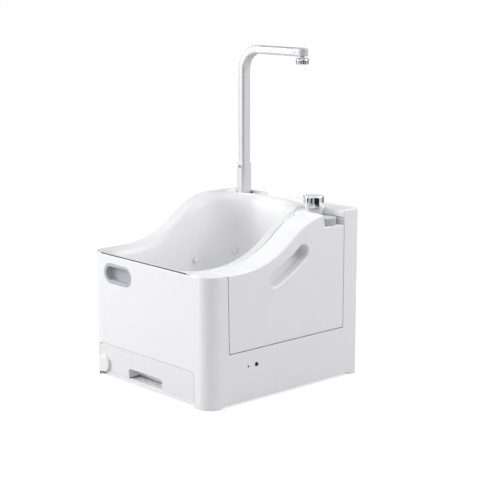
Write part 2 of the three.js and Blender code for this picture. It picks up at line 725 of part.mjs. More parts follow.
function controlKnob() {
  const profile = [
    [0, KNOB_SEAT + 1.4], [KNOB_RADIUS - 1, KNOB_SEAT + 1.4], [KNOB_RADIUS, KNOB_SEAT + 2.4],
    [KNOB_RADIUS, KNOB_TOP - 2], [KNOB_RADIUS - 2, KNOB_TOP], [0, KNOB_TOP],
  ];
  return cut(turned(profile, 36), disc(4.4, KNOB_SEAT, KNOB_SEAT + 12, 16)).translate(KNOB_X, KNOB_Y, 0);
}

function atKnob(geometry) {
  return geometry.translate(KNOB_X, KNOB_Y, 0);
}

function atSpout(geometry) {
  return geometry.translate(SPOUT_X, SPOUT_Y, 0);
}

function facingRight(geometry, x, y, z) {
  return geometry.rotateY(Math.PI / 2).translate(x, y, z);
}

// Pump and power, behind the drawer

const PUMP_Y = FRONT + 340;
const PUMP_Z = 36;

function pumpBody() {
  const body = facingRight(disc(20, 0, 26), 14, PUMP_Y, PUMP_Z);
  const inlet = facingRight(disc(5, 0, 12, 16), 39, PUMP_Y, PUMP_Z);
  const outlet = disc(5, 15, 30, 16).translate(27, PUMP_Y, PUMP_Z);
  return join(body, inlet, outlet);
}

function pumpBracket() {
  return cut(
    box(-44, 38, PUMP_Y - 18, PUMP_Y + 18, 11.8, 30),
    facingRight(disc(20.4, 0, 60), 12, PUMP_Y, PUMP_Z),
    facingRight(disc(16.4, 0, 60), -46, PUMP_Y, PUMP_Z),
    box(-36, 12.5, PUMP_Y - 30, PUMP_Y + 30, 15, 40),
  );
}

piece("outer_shell", outerShell(), WHITE);
piece("base_plate", basePlate(), WHITE);
piece("basin", flipIfInside(basinShell()), WHITE);
piece("rear_deck", rearDeck(), WHITE);
piece("bay_liner", bayLiner(), PANEL);

piece("tank_shell", tankShell(), WHITE);
piece("tank_cap", ribbedCap(), FROST);
piece("cap_seal", ring(12.6, 15.2, 309.3, 310.3).translate(CAP_X, CAP_Y, 0), RUBBER);
const outletTube = ring(OUTLET_RADIUS - 2, OUTLET_RADIUS, -14, -0.4, 20);
piece("tank_outlet", facingRight(outletTube, TANK_LEFT, OUTLET_Y, OUTLET_Z), DARK);
const outletSeal = ring(OUTLET_RADIUS + 0.3, OUTLET_RADIUS + 1.7, -12, -10, 20);
piece("outlet_seal", facingRight(outletSeal, TANK_LEFT, OUTLET_Y, OUTLET_Z), RUBBER);
const coupling = turned([
  [0, -22], [9.5, -22], [9.5, -4.3], [8, -4.3], [8, -15], [0, -15],
], 20);
piece("tank_coupling", facingRight(coupling, TANK_LEFT, OUTLET_Y, OUTLET_Z), GREY);

piece("waste_tray", wasteTray(), WHITE);
piece("waste_lid", wasteLid(), PANEL);
const plug = turned([
  [0, -10], [8.2, -10], [8.2, 0.4], [PLUG_RADIUS, 0.4],
  [PLUG_RADIUS, 3.4], [14.6, PLUG_PROUD], [0, PLUG_PROUD],
], 24);
piece("drain_plug", plug.rotateX(Math.PI / 2).translate(PLUG_X, FRONT, PLUG_Z), WHITE);
const plugSeal = ring(8.5, 9.2, -3, -0.6).rotateX(Math.PI / 2);
piece("plug_seal", plugSeal.translate(PLUG_X, FRONT, PLUG_Z), RUBBER);
for (const [side, x] of [["left", DRAWER_LEFT + 1.4], ["right", DRAWER_RIGHT - 3.4]]) {
  piece(`drawer_rail_${side}`, box(x, x + 2, FRONT + 30, FRONT + 296, 11.8, 46), GREY);
}

const strainer = turned([
  [0, BASIN_FLOOR - 1.6], [16, BASIN_FLOOR - 1.6], [16, BASIN_FLOOR + 0.5], [26, BASIN_FLOOR + 2.8],
  [26, BASIN_FLOOR + 4], [0, BASIN_FLOOR + 3],
]);
piece("drain_strainer", strainer.translate(DRAIN_X, DRAIN_Y, 0), STEEL);
const tailpipe = turned([
  [17, 68], [20, 68], [20, 90], [30, 96.5], [30, 98.4], [17, 98.4], [17, 68],
]);
piece("tailpipe", tailpipe.translate(DRAIN_X, DRAIN_Y, 0), GREY);

piece("grip_bezel", gripBezel(), GREY);
piece("grip_cup", gripCup(), GREY);

piece("spout_bush", atSpout(ring(14.9, 17.1, 314, 324.5, 32)), RUBBER);
piece("spout_sleeve", spoutSleeve(), SATIN);
piece("spout_tube", spoutTube(), SATIN);
const button = disc(2.2, -0.8, 0.5, 16).rotateX(-Math.PI / 2).translate(0, -SLEEVE_DEPTH / 2, 378);
piece("lock_button", atSpout(button), DARK);
piece("spout_end_cap", spoutEndCap(), CHROME);
piece("aerator_neck", aeratorNeck(), CHROME);
piece("aerator", aeratorBody(), CHROME);
piece("aerator_screen", disc(9.1, BALL_Z - 9.9, BALL_Z - 8.5).translate(AERATOR_X, SPOUT_Y, 0), STEEL);

piece("knob_ring", atKnob(ring(4.9, 17, KNOB_SEAT + 0.3, KNOB_SEAT + 1.1, 32)), CHROME);
piece("control_knob", controlKnob(), CHROME);
piece("valve_spindle", atKnob(disc(4, 300, KNOB_SEAT + 11.6, 16)), STEEL);
const valveBlock = disc(14.4, 284, DECK_BOTTOM - 0.4).translate(-10, 0, 0);
piece("flow_valve", atKnob(cut(valveBlock, disc(4.4, 299.6, 320, 16))), GREY);

piece("pump_body", pumpBody(), DARK);
piece("pump_motor", facingRight(disc(16, 0, 50), -36.4, PUMP_Y, PUMP_Z), STEEL);
piece("pump_bracket", pumpBracket(), GREY);
piece("battery_pack", box(72, 152, PUMP_Y - 30, PUMP_Y + 26, 12, 62), DARK);
piece("control_board", box(156, 157.6, FRONT + 75, FRONT + 132, 48, 90), BOARD);
piece("dc_jack", facingRight(cut(disc(3.9, -16, 0), disc(2.4, -9, 1)), HALF, FRONT + 113.3, 69.5), DARK);
piece("led_lens", facingRight(disc(1.7, -14, 0), HALF, FRONT + 93.4, 69), DARK);

// Water lines: way points as x, distance from the front, z
const suction = [
  [96.8, 300, 116], [91, 300, 116], [80, 318, 104], [66, 336, 80],
  [62, 340, 50], [58, 340, 36.5], [51.4, 340, 36],
];
const delivery = [
  [27, 340, 66.4], [27, 340, 74], [36, 352, 130], [58, 356, 200],
  [84, 350, 252], [94, 324, 270], [94, 320, 278], [94, 320, 283.5],
];
const riser = [
  [107, 320, 283.5], [107, 320, 277], [98, 350, 266], [50, 367, 258], [-20, 368, 232], [-70, 367, 176],
  [-96, 364, 108], [-112, 358, 88], [-124, 354, 98], [-124, 354, 111.4],
];
const waterLines = [["suction", suction, 5], ["delivery", delivery, 4], ["riser", riser, 4]];
for (const [name, route, radius] of waterLines) {
  piece(`${name}_hose`, hose(route.map(([x, y, z]) => [x, FRONT + y, z]), radius, 18), HOSE);
}

const guideArm = box(-6, 6, 15.5, BACK - WALL - GAP - SPOUT_Y, 118, 126);
const guideBore = disc(14.7, 110, 130);
piece("sleeve_guide", atSpout(cut(join(disc(18, 118, 126), guideArm), guideBore)), GREY);

function sprayNozzle(x, y, z, heading) {
  const body = turned([[0, 0], [6, 0], [6, 1], [4.4, 2.4], [2, 3.2], [0, 3.2]], 20);
  return body.rotateY(Math.PI / 2).rotateZ(heading).translate(x, y, z);
}

const cornerLoop = loopAt(1.4);
const cornerRadius = cornerLoop.radii[3];
const cornerAngle = THREE.MathUtils.degToRad(129);
const cornerX = cornerLoop.left + cornerRadius + (cornerRadius - 2.2) * Math.cos(cornerAngle);
const cornerY = cornerLoop.back - cornerRadius + (cornerRadius - 2.2) * Math.sin(cornerAngle);
piece("spray_nozzle_1", sprayNozzle(loopAt(1.33).left + 1.8, FRONT + 115, 197, 0), CHROME);
piece("spray_nozzle_2", sprayNozzle(loopAt(1.42).left + 1.8, FRONT + 230, 197, 0), CHROME);
piece("spray_nozzle_3", sprayNozzle(cornerX, cornerY, 210, cornerAngle + Math.PI), CHROME);

for (const [side, x] of [["left", -HALF + 19], ["right", HALF - 19]]) {
  for (const [end, y] of [["front", FRONT + 19], ["rear", BACK - 15]]) {
    piece(`foot_${end}_${side}`, disc(9, 0, 7.8, 12).translate(x, y, 0), RUBBER);
  }
}
for (const [side, x] of [["left", -HALF + 8], ["right", HALF - 8]]) {
  for (const [end, y] of [["front", FRONT + 45], ["rear", BACK - 30]]) {
    const screw = turned([[0, 5.6], [3.8, 5.6], [3.8, 7.8], [1.7, 7.8], [1.7, 26], [0, 26]], 8);
    piece(`base_screw_${end}_${side}`, screw.translate(x, y, 0), STEEL);
  }
}

export default sink;
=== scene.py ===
import math

import bmesh
import bpy
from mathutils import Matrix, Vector


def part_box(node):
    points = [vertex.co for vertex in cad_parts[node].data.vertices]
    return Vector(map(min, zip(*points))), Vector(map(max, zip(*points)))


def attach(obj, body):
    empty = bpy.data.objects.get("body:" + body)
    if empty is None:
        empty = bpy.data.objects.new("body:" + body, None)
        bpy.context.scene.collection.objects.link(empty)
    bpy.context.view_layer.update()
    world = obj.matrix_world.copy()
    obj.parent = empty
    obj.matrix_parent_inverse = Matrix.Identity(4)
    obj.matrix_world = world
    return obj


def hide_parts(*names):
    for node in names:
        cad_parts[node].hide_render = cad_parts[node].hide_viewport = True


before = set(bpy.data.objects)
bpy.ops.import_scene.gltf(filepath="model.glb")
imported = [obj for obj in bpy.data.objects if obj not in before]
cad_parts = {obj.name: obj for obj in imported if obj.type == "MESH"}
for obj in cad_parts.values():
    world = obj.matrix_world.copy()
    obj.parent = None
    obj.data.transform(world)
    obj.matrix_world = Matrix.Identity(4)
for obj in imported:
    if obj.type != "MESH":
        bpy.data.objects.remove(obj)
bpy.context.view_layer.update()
scene = bpy.context.scene

# Sizes below are in millimetres, in the model's own frame, and meshes are made in metres.
MM = 0.001


def span(node):
    low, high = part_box(node)
    return [(low[i] / MM, high[i] / MM) for i in range(3)]


(SHELL_X, SHELL_Y, SHELL_Z) = span("outer_shell")
FRONT, BACK = SHELL_Y
HALF = SHELL_X[1]
WALL = 3.0
GAP = 0.4
FRONT_RADIUS, REAR_RADIUS = 30.0, 8.0
RIM_LOW, RIM_HIGH = 244.5, SHELL_Z[1]
SWEEP_START, SWEEP_RUN, LOWER_ARC_SHARE = FRONT + 74, 227.0, 0.59
SWEEP_RISE = RIM_HIGH - RIM_LOW
SWEEP_END = SWEEP_START + SWEEP_RUN
SWEEP_ANGLE = 2 * math.atan(SWEEP_RISE / SWEEP_RUN)
ARC_SUM = (SWEEP_RUN ** 2 + SWEEP_RISE ** 2) / (2 * SWEEP_RISE)
LOWER_ARC = ARC_SUM * LOWER_ARC_SHARE
UPPER_ARC = ARC_SUM - LOWER_ARC
SKY = 360.0
TANK_X, TANK_Y, TANK_Z = span("tank_shell")
TANK_LEFT = TANK_X[0]
DECK_TOP = 322.0
SPOUT_X, SPOUT_Y = (sum(span("spout_sleeve")[i]) / 2 for i in (0, 1))
SLEEVE_WIDTH, SLEEVE_DEPTH, SLEEVE_WALL, SLEEVE_RADIUS = 19.6, 24.6, 1.5, 5.5
TUBE_WIDTH, TUBE_DEPTH, TUBE_WALL, TUBE_RADIUS, TUBE_BEND = 16.0, 21.0, 1.2, 4.4, 44.0
KNOB_X, KNOB_Y = (sum(span("control_knob")[i]) / 2 for i in (0, 1))
CAP_X, CAP_Y = (sum(span("tank_cap")[i]) / 2 for i in (0, 1))
DRAIN_X, DRAIN_Y = (sum(span("drain_strainer")[i]) / 2 for i in (0, 1))
AERATOR_X = sum(span("aerator_screen")[0]) / 2
SLOT_Y, SLOT_Z, SLOT_SLOPE, SLOT_ARC = FRONT + 196.8, 238, 0.527, 340
SLOT_LENGTH, SLOT_WIDTH, SLOT_DEPTH = 109, 27.5, 24.5
RECESS_WIDTH, RECESS_HEIGHT, RECESS_FRAME = 83, 38, 5.5
PLUG_X, PLUG_Z, PLUG_HOLE = -133, 27, 9.5
# Groove along the top edge of the front wall, as (x, z)
GROOVE = [(-153, 245), (-141, 242.2), (138, 242.2), (149, 245)]


# Materials -----------------------------------------------------------------------------------

def new_material(name):
    made = bpy.data.materials.new(name)
    made.use_nodes = True
    shader = made.node_tree.nodes["Principled BSDF"]
    return made, made.node_tree, shader


def noise(tree, scale, detail=4.0, stretch=(1, 1, 1)):
    coords = tree.nodes.new("ShaderNodeTexCoord")
    mapping = tree.nodes.new("ShaderNodeMapping")
    mapping.inputs["Scale"].default_value = stretch
    texture = tree.nodes.new("ShaderNodeTexNoise")
    texture.inputs["Scale"].default_value = scale
    texture.inputs["Detail"].default_value = detail
    tree.links.new(coords.outputs["Object"], mapping.inputs["Vector"])
    tree.links.new(mapping.outputs["Vector"], texture.inputs["Vector"])
    return texture.outputs["Fac"]


def vary_colour(tree, shader, source, low, high):
    ramp = tree.nodes.new("ShaderNodeValToRGB")
    ramp.color_ramp.elements[0].position = 0.3
    ramp.color_ramp.elements[1].position = 0.7
    ramp.color_ramp.elements[0].color = (*low, 1)
    ramp.color_ramp.elements[1].color = (*high, 1)
    tree.links.new(source, ramp.inputs["Fac"])
    tree.links.new(ramp.outputs["Color"], shader.inputs["Base Color"])


def vary_roughness(tree, shader, source, low, high):
    spread = tree.nodes.new("ShaderNodeMapRange")
    spread.inputs["From Min"].default_value = 0.3
    spread.inputs["From Max"].default_value = 0.7
    spread.inputs["To Min"].default_value = low
    spread.inputs["To Max"].default_value = high
    tree.links.new(source, spread.inputs["Value"])
    tree.links.new(spread.outputs["Result"], shader.inputs["Roughness"])


def add_bump(tree, shader, layers):
    last = None
    for source, strength, distance in layers:
        bump = tree.nodes.new("ShaderNodeBump")
        bump.inputs["Strength"].default_value = strength
        bump.inputs["Distance"].default_value = distance
        tree.links.new(source, bump.inputs["Height"])
        if last is not None:
            tree.links.new(last, bump.inputs["Normal"])
        last = bump.outputs["Normal"]
    tree.links.new(last, shader.inputs["Normal"])


def plastic(name, low, high, rough=(0.3, 0.38), grain=0.12, grain_scale=1400, specular=0.5, waves=0.03):
    made, tree, shader = new_material(name)
    vary_colour(tree, shader, noise(tree, 22, 5), low, high)
    vary_roughness(tree, shader, noise(tree, 90, 6), *rough)
    add_bump(tree, shader, [
        (noise(tree, 14, 2), waves, 0.0005),
        (noise(tree, grain_scale, 2), grain, 0.00004),
    ])
    shader.inputs["Specular IOR Level"].default_value = specular
    return made


def metal(name, low, high, rough, stretch, grain_scale, grain, metallic=1.0):
    made, tree, shader = new_material(name)
    vary_colour(tree, shader, noise(tree, 30, 4), low, high)
    vary_roughness(tree, shader, noise(tree, grain_scale, 4, stretch), *rough)
    add_bump(tree, shader, [(noise(tree, grain_scale, 3, stretch), grain, 0.00003)])
    shader.inputs["Metallic"].default_value = metallic
    return made


WHITE = plastic("moulded_white", (0.865, 0.865, 0.88), (0.88, 0.88, 0.895))
BASIN_WHITE = plastic(
    "basin_white", (0.79, 0.79, 0.8), (0.8, 0.8, 0.81), rough=(0.29, 0.31), grain=0.04, waves=0.008,
)
TANK_WHITE = plastic("tank_white", (0.865, 0.865, 0.88), (0.88, 0.88, 0.895))
DRAWER_WHITE = plastic("drawer_white", (0.82, 0.82, 0.84), (0.835, 0.835, 0.855))
PANEL = plastic("liner_white", (0.76, 0.76, 0.78), (0.8, 0.8, 0.815), rough=(0.4, 0.5))
GREY = plastic("grey_moulding", (0.47, 0.475, 0.52), (0.51, 0.515, 0.56), rough=(0.42, 0.52))
FROST = plastic("frosted_cap", (0.58, 0.58, 0.64), (0.63, 0.63, 0.69), rough=(0.3, 0.4))
DARK = plastic("dark_moulding", (0.018, 0.018, 0.02), (0.035, 0.035, 0.038), rough=(0.4, 0.55))
RUBBER = plastic("black_rubber", (0.012, 0.012, 0.013), (0.03, 0.03, 0.032), rough=(0.7, 0.85), grain=0.3)
NOZZLE = plastic("nozzle_clear", (0.74, 0.75, 0.77), (0.82, 0.83, 0.85), rough=(0.08, 0.14), grain=0.02)
HOSE = plastic("soft_hose", (0.62, 0.65, 0.67), (0.7, 0.73, 0.75), rough=(0.3, 0.42))
BOARD = plastic("circuit_board", (0.02, 0.12, 0.05), (0.04, 0.2, 0.09), rough=(0.35, 0.5))
# Painted shade: a darker grey that stands in for the shade on the bay lining's rear wall behind the tank.
LINER_PAINTED_SHADE = plastic("liner_painted_shade", (0.33, 0.33, 0.31), (0.38, 0.38, 0.36), rough=(0.5, 0.6))
# Painted shade: a darker grey that stands in for the shade in the grooves between the filler cap's ribs.
CAP_GROOVE_PAINTED_SHADE = plastic("cap_groove_painted_shade", (0.36, 0.36, 0.41), (0.42, 0.42, 0.47), rough=(0.5, 0.6))
# Painted shade: a near-black that stands in for the shade inside the narrow gaps between parts.
JOINT_PAINTED_SHADE = plastic("joint_painted_shade", (0.07, 0.07, 0.078), (0.1, 0.1, 0.11), rough=(0.6, 0.7))
CHROME = metal("chrome", (0.86, 0.87, 0.9), (0.92, 0.93, 0.95), (0.04, 0.09), (1, 1, 1), 500, 0.02)
SATIN = metal("satin_tube", (0.73, 0.73, 0.76), (0.76, 0.76, 0.79), (0.2, 0.24), (1, 1, 1), 60, 0.004, 0.4)
KNOB_FACE = metal("knob_face", (0.84, 0.84, 0.86), (0.9, 0.9, 0.92), (0.38, 0.46), (1, 1, 1), 200, 0.02, 0.3)
PLATED = metal("plated_nose", (0.56, 0.56, 0.6), (0.61, 0.61, 0.65), (0.4, 0.46), (1, 1, 1), 120, 0.01, 0.4)
STEEL = metal("brushed_steel", (0.6, 0.6, 0.62), (0.7, 0.7, 0.72), (0.25, 0.4), (1, 0.03, 1), 900, 0.15)


# Outlines ------------------------------------------------------------------------------------

def arc(cx, cy, radius, start, stop, steps):
    angles = [start + (stop - start) * i / steps for i in range(steps + 1)]
    return [(cx + radius * math.cos(a), cy + radius * math.sin(a)) for a in angles]


def rounded(x0, x1, y0, y1, radii, steps=10):
    a, b, c, d = radii if isinstance(radii, (list, tuple)) else [radii] * 4
    pi = math.pi
    return (
        arc(x0 + a, y0 + a, a, pi, 1.5 * pi, steps)
        + arc(x1 - b, y0 + b, b, 1.5 * pi, 2 * pi, steps)
        + arc(x1 - c, y1 - c, c, 0, 0.5 * pi, steps)
        + arc(x0 + d, y1 - d, d, 0.5 * pi, pi, steps)
    )


def footprint(inset):
    front = FRONT_RADIUS - inset
    rear = max(REAR_RADIUS - inset, 1)
    return rounded(-HALF + inset, HALF - inset, FRONT + inset, BACK - inset, [front, front, rear, rear], 14)


def sweep_height(y):
    if y <= SWEEP_START:
        return RIM_LOW
    if y >= SWEEP_END:
        return RIM_HIGH
    if y < SWEEP_START + LOWER_ARC * math.sin(SWEEP_ANGLE):
        return RIM_LOW + LOWER_ARC - math.sqrt(LOWER_ARC ** 2 - (y - SWEEP_START) ** 2)
    return RIM_HIGH - UPPER_ARC + math.sqrt(UPPER_ARC ** 2 - (SWEEP_END - y) ** 2)


def sky_outline(drop=0.0, steps=36):
    low = RIM_LOW - drop + LOWER_ARC
    high = RIM_HIGH - drop - UPPER_ARC
    quarter = math.pi / 2
    return (
        [(FRONT - 20, RIM_LOW - drop)]
        + arc(SWEEP_START, low, LOWER_ARC, -quarter, -quarter + SWEEP_ANGLE, steps)
        + arc(SWEEP_END, high, UPPER_ARC, quarter + SWEEP_ANGLE, quarter, steps)
        + [(BACK + 20, RIM_HIGH - drop), (BACK + 20, SKY), (FRONT - 20, SKY)]
    )


def tank_outline(grow, top):
    return [
        (TANK_Y[0] + 5.5 - grow, TANK_Z[0] - grow), (TANK_Y[1] + grow, TANK_Z[0] - grow),
        (TANK_Y[1] + grow, top), (TANK_Y[0] - grow, top),
    ]


def bent_slot(y, z, slope, radius, length, width, steps=18):
    half = (length - width) / 2 / radius
    middle = slope - math.pi / 2
    cy, cz = y - radius * math.cos(middle), z - radius * math.sin(middle)
    end = lambda a: (cy + radius * math.cos(a), cz + radius * math.sin(a))
    (y0, z0), (y1, z1) = end(middle - half), end(middle + half)
    return (
        arc(cy, cz, radius + width / 2, middle - half, middle + half, steps)
        + arc(y1, z1, width / 2, middle + half, middle + half + math.pi, steps)[1:-1]
        + arc(cy, cz, radius - width / 2, middle + half, middle - half, steps)
        + arc(y0, z0, width / 2, middle - half + math.pi, middle - half + 2 * math.pi, steps)[1:-1]
    )


# Meshes --------------------------------------------------------------------------------------

def make(name, points, faces):
    mesh = bpy.data.meshes.new(name)
    mesh.from_pydata([(x * MM, y * MM, z * MM) for x, y, z in points], [], faces)
    mesh.validate()
    bm = bmesh.new()
    bm.from_mesh(mesh)
    bmesh.ops.remove_doubles(bm, verts=bm.verts, dist=1e-6)
    bmesh.ops.recalc_face_normals(bm, faces=bm.faces)
    bm.to_mesh(mesh)
    bm.free()
    made = bpy.data.objects.new(name, mesh)
    scene.collection.objects.link(made)
    return made


PLACES = {
    "z": lambda u, v, w: (u, v, w),
    "y": lambda u, v, w: (u, w, v),
    "x": lambda u, v, w: (w, u, v),
}


def prism(outline, low, high, axis, name="tool"):
    place = PLACES[axis]
    count = len(outline)
    points = [place(u, v, w) for w in (low, high) for u, v in outline]
    sides = [[i, (i + 1) % count, count + (i + 1) % count, count + i] for i in range(count)]
    return make(name, points, [list(range(count)), list(range(count, 2 * count))] + sides)


def block(x0, x1, y0, y1, z0, z1, name="tool"):
    return prism([(x0, y0), (x1, y0), (x1, y1), (x0, y1)], z0, z1, "z", name)


def lathe(name, profile, centre, axis="z", segments=64, wobble=None):
    """Turns (radius, height) points about an axis; wobble scales the radius by angle and height."""
    turn = {
        "z": lambda a, b, h: (a, b, h),
        "y": lambda a, b, h: (a, -h, b),
        "x": lambda a, b, h: (h, a, b),
    }[axis]
    points, faces = [], []
    for radius, height in profile:
        for step in range(segments):
            angle = 2 * math.pi * step / segments
            r = radius * (wobble(angle, height) if wobble else 1)
            x, y, z = turn(r * math.cos(angle), r * math.sin(angle), height)
            points.append((x + centre[0], y + centre[1], z + centre[2]))
    for row in range(len(profile) - 1):
        for step in range(segments):
            after = (step + 1) % segments
            faces.append([
                row * segments + step, row * segments + after,
                (row + 1) * segments + after, (row + 1) * segments + step,
            ])
    return make(name, points, faces)


def bore(radius, start, stop, centre, axis="z", segments=64):
    """A round cutter that reaches from start to stop along its axis, measured from the centre."""
    return lathe("tool", [(0, start), (radius, start), (radius, stop), (0, stop)], centre, axis, segments)


def tube_between(name, sections):
    """Skins closed sections, each a list of points, from first to last and back to the first."""
    count = len(sections[0])
    points = [p for section in sections for p in section]
    faces = []
    total = len(sections)
    for s in range(total):
        nxt = (s + 1) % total
        for i in range(count):
            j = (i + 1) % count
            faces.append([s * count + i, s * count + j, nxt * count + j, nxt * count + i])
    return make(name, points, faces)


def stack(name, sections):
    """Skins closed sections from first to last, and closes both ends."""
    count = len(sections[0])
    points = [p for section in sections for p in section]
    faces = [list(range(count)), list(range(len(points) - count, len(points)))]
    for s in range(len(sections) - 1):
        for i in range(count):
            j = (i + 1) % count
            faces.append([s * count + i, s * count + j, (s + 1) * count + j, (s + 1) * count + i])
    return make(name, points, faces)


def bake(made):
    bpy.context.view_layer.update()
    graph = bpy.context.evaluated_depsgraph_get()
    mesh = bpy.data.meshes.new_from_object(made.evaluated_get(graph))
    made.modifiers.clear()
    made.data = mesh
    return made


def combine(made, tools, operation):
    for tool in tools:
        step = made.modifiers.new("step", "BOOLEAN")
        step.operation = operation
        step.solver = "EXACT"
        step.object = tool
    bake(made)
    for tool in tools:
        bpy.data.objects.remove(tool)
    return made


def cut(made, *tools):
    return combine(made, tools, "DIFFERENCE")


def join(made, *tools):
    return combine(made, tools, "UNION")


def overlap(made, *tools):
    return combine(made, tools, "INTERSECT")


def soften(made, width, segments=4, where=None, sharp=35):
    """Rounds the sharp edges, or those whose middle passes the test."""
    bm = bmesh.new()
    bm.from_mesh(made.data)
    bmesh.ops.remove_doubles(bm, verts=bm.verts, dist=2e-6)
    picked = []
    for edge in bm.edges:
        if len(edge.link_faces) != 2 or edge.calc_face_angle(0) < math.radians(sharp):
            continue
        middle = (edge.verts[0].co + edge.verts[1].co) / (2 * MM)
        if where is None or where(middle):
            picked.append(edge)
    bmesh.ops.bevel(
        bm, geom=picked, offset=width * MM, offset_type="OFFSET", segments=segments,
        profile=0.5, affect="EDGES", clamp_overlap=False,
    )
    bm.to_mesh(made.data)
    bm.free()
    return made


def second_finish_or_painted_shade(made, material, test):
    """Gives a second material to the faces whose middle (mm) and normal pass the test; used for a second
    finish and for painted shade.
    """
    made.data.materials.append(material)
    for face in made.data.polygons:
        if test(face.center / MM, face.normal):
            face.material_index = 1
    return made


def dress(made, name, material, body, nodes, sharp=40, weighted=True):
    """Names, shades and colours a piece, and hangs it on its body."""
    made.name = name
    made.data.name = name
    made.data.materials.clear()
    made.data.materials.append(material)
    made.data.shade_smooth()
    made.data.set_sharp_from_angle(angle=math.radians(sharp))
    if weighted:
        shade = made.modifiers.new("shade", "WEIGHTED_NORMAL")
        shade.keep_sharp = True
    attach(made, body)
    if nodes:
        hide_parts(*nodes)
    return made


# Casing --------------------------------------------------------------------------------------

def notch_tool():
    return block(-81, -22, FRONT + 356, BACK + 5, 316, SKY)


def recess_outline(shrink, steps=16):
    x, z = (sum(span("grip_bezel")[i]) / 2 for i in (0, 2))
    width, height = RECESS_WIDTH / 2 - shrink, RECESS_HEIGHT / 2 - shrink
    return rounded(x - width, x + width, z - height, z + height, height, steps)


def build_shell():
    shell = prism(footprint(0), 1, RIM_HIGH, "z")
    cut(shell, prism(footprint(WALL), -5, SKY, "z"))
    web = block(TANK_LEFT, HALF, FRONT + 1, TANK_Y[0] - GAP, 238, 246)
    overlap(web, prism(footprint(0.5), 230, 250, "z"))
    join(shell, web)
    cut(shell, prism(sky_outline(), -HALF - 5, HALF + 5, "x"))
    cut(shell, prism(GROOVE, FRONT - 1, FRONT + WALL + 0.5, "y"))
    soften(shell, 1.1, 4, lambda p: p.z > 241)
    mouth = rounded(-151.6, 132.6, -5, 67.1, [1, 1, 11, 11])
    side = [(FRONT + 24, -2), (FRONT + 31, 5.4), (BACK - 24, 5.4), (BACK - 15, -2)]
    rear = [(-HALF + 14, -2), (-HALF + 22, 5.4), (HALF - 22, 5.4), (HALF - 14, -2)]
    jack, light = span("dc_jack"), span("led_lens")
    cut(
        shell,
        prism(mouth, FRONT - 2, FRONT + 12, "y"),
        prism(recess_outline(-GAP), FRONT - 2, FRONT + 12, "y"),
        prism(tank_outline(1.2, SKY), 120, HALF + 5, "x"),
        prism(side, -HALF - 2, HALF + 2, "x"),
        prism(rear, BACK - 20, BACK + 2, "y"),
        notch_tool(),
        bore(4.2, -8, 6, (HALF, sum(jack[1]) / 2, sum(jack[2]) / 2), "x", 32),
        bore(2, -8, 6, (HALF, sum(light[1]) / 2, sum(light[2]) / 2), "x", 24),
    )
    soften(shell, 0.55, 3)
    dress(shell, "casing_shell", WHITE, "casing", ["outer_shell"])

    # Painted shade: the faces inside the gaps round the tank window and the drawer mouth get the near-black
    # painted shade.
    def at_joint(c, n):
        in_side_wall = HALF - WALL - 0.2 < c[0] < HALF - 0.4 and 90 < c[2] < 243
        tank_window = in_side_wall and abs(n.x) < 0.3 and TANK_Y[0] - 6 < c[1] < TANK_Y[1] + 6
        in_front_wall = FRONT + 0.5 < c[1] < FRONT + WALL + 0.5
        drawer_mouth = in_front_wall and abs(n.y) < 0.3 and c[2] < 70 and abs(c[0]) < 155
        return tank_window or drawer_mouth

    return second_finish_or_painted_shade(shell, JOINT_PAINTED_SHADE, at_joint)


build_shell()


def build_base():
    plate = prism(footprint(WALL + GAP), 8.2, 11.4, "z")
    join(plate, block(-151.2, 132.2, FRONT, FRONT + 8, 8.2, 12.6))
    ribs = [block(-46 + 12 * i, -42 + 12 * i, FRONT + 7, FRONT + 24, 11, 12.6) for i in range(7)]
    join(plate, *ribs)
    soften(plate, 0.5, 3)
    return dress(plate, "floor_plate", WHITE, "casing", ["base_plate"])


build_base()


# Basin ---------------------------------------------------------------------------------------

BASIN_X, BASIN_Y, BASIN_Z = span("basin")
BASIN_LEFT, BASIN_RIGHT = BASIN_X
BASIN_FRONT, BASIN_BACK = BASIN_Y
BASIN_FLOOR = BASIN_Z[0] + 3
DRAIN_RADIUS = 22.0
RIM = (BASIN_LEFT, BASIN_RIGHT, BASIN_FRONT, BASIN_BACK, (27, 12, 118, 110))
CREST = (BASIN_LEFT + 24, BASIN_RIGHT - 24, BASIN_FRONT + 11, BASIN_BACK - 9, (34, 52, 100, 88))
FLOOR = (BASIN_LEFT + 56, BASIN_RIGHT - 56, BASIN_FRONT + 42, BASIN_BACK - 42, (50, 50, 60, 60))
DRAIN = (
    DRAIN_X - DRAIN_RADIUS, DRAIN_X + DRAIN_RADIUS, DRAIN_Y - DRAIN_RADIUS, DRAIN_Y + DRAIN_RADIUS,
    (DRAIN_RADIUS,) * 4,
)
LOOPS = (RIM, CREST, FLOOR, DRAIN)
CORNER_STEPS = 22
SIDE_STEPS = (20, 56, 20, 56)


def mix(a, b, share):
    return a + (b - a) * share


def loop_at(level):
    index = min(int(level), len(LOOPS) - 2)
    share = level - index
    a, b = LOOPS[index], LOOPS[index + 1]
    sides = [mix(a[i], b[i], share) for i in range(4)]
    return (*sides, [mix(p, q, share) for p, q in zip(a[4], b[4])])


def loop_points(level, grow=0.0):
    """Points round a loop, anticlockwise from the front left corner, in even steps for every level."""
    left, right, front, back, radii = loop_at(level)
    corners = ((left, front, 1, 1), (right, front, -1, 1), (right, back, -1, -1), (left, back, 1, -1))
    arcs = []
    for index, (x, y, in_x, in_y) in enumerate(corners):
        radius = radii[index]
        start = math.pi * (1 + index / 2)
        cx, cy = x + in_x * radius, y + in_y * radius
        arcs.append(arc(cx, cy, radius + grow, start, start + math.pi / 2, CORNER_STEPS))
    points = []
    for index, steps in enumerate(SIDE_STEPS):
        points += arcs[index]
        (x0, y0), (x1, y1) = arcs[index][-1], arcs[(index + 1) % 4][0]
        points += [(mix(x0, x1, s / steps), mix(y0, y1, s / steps)) for s in range(1, steps)]
    return points


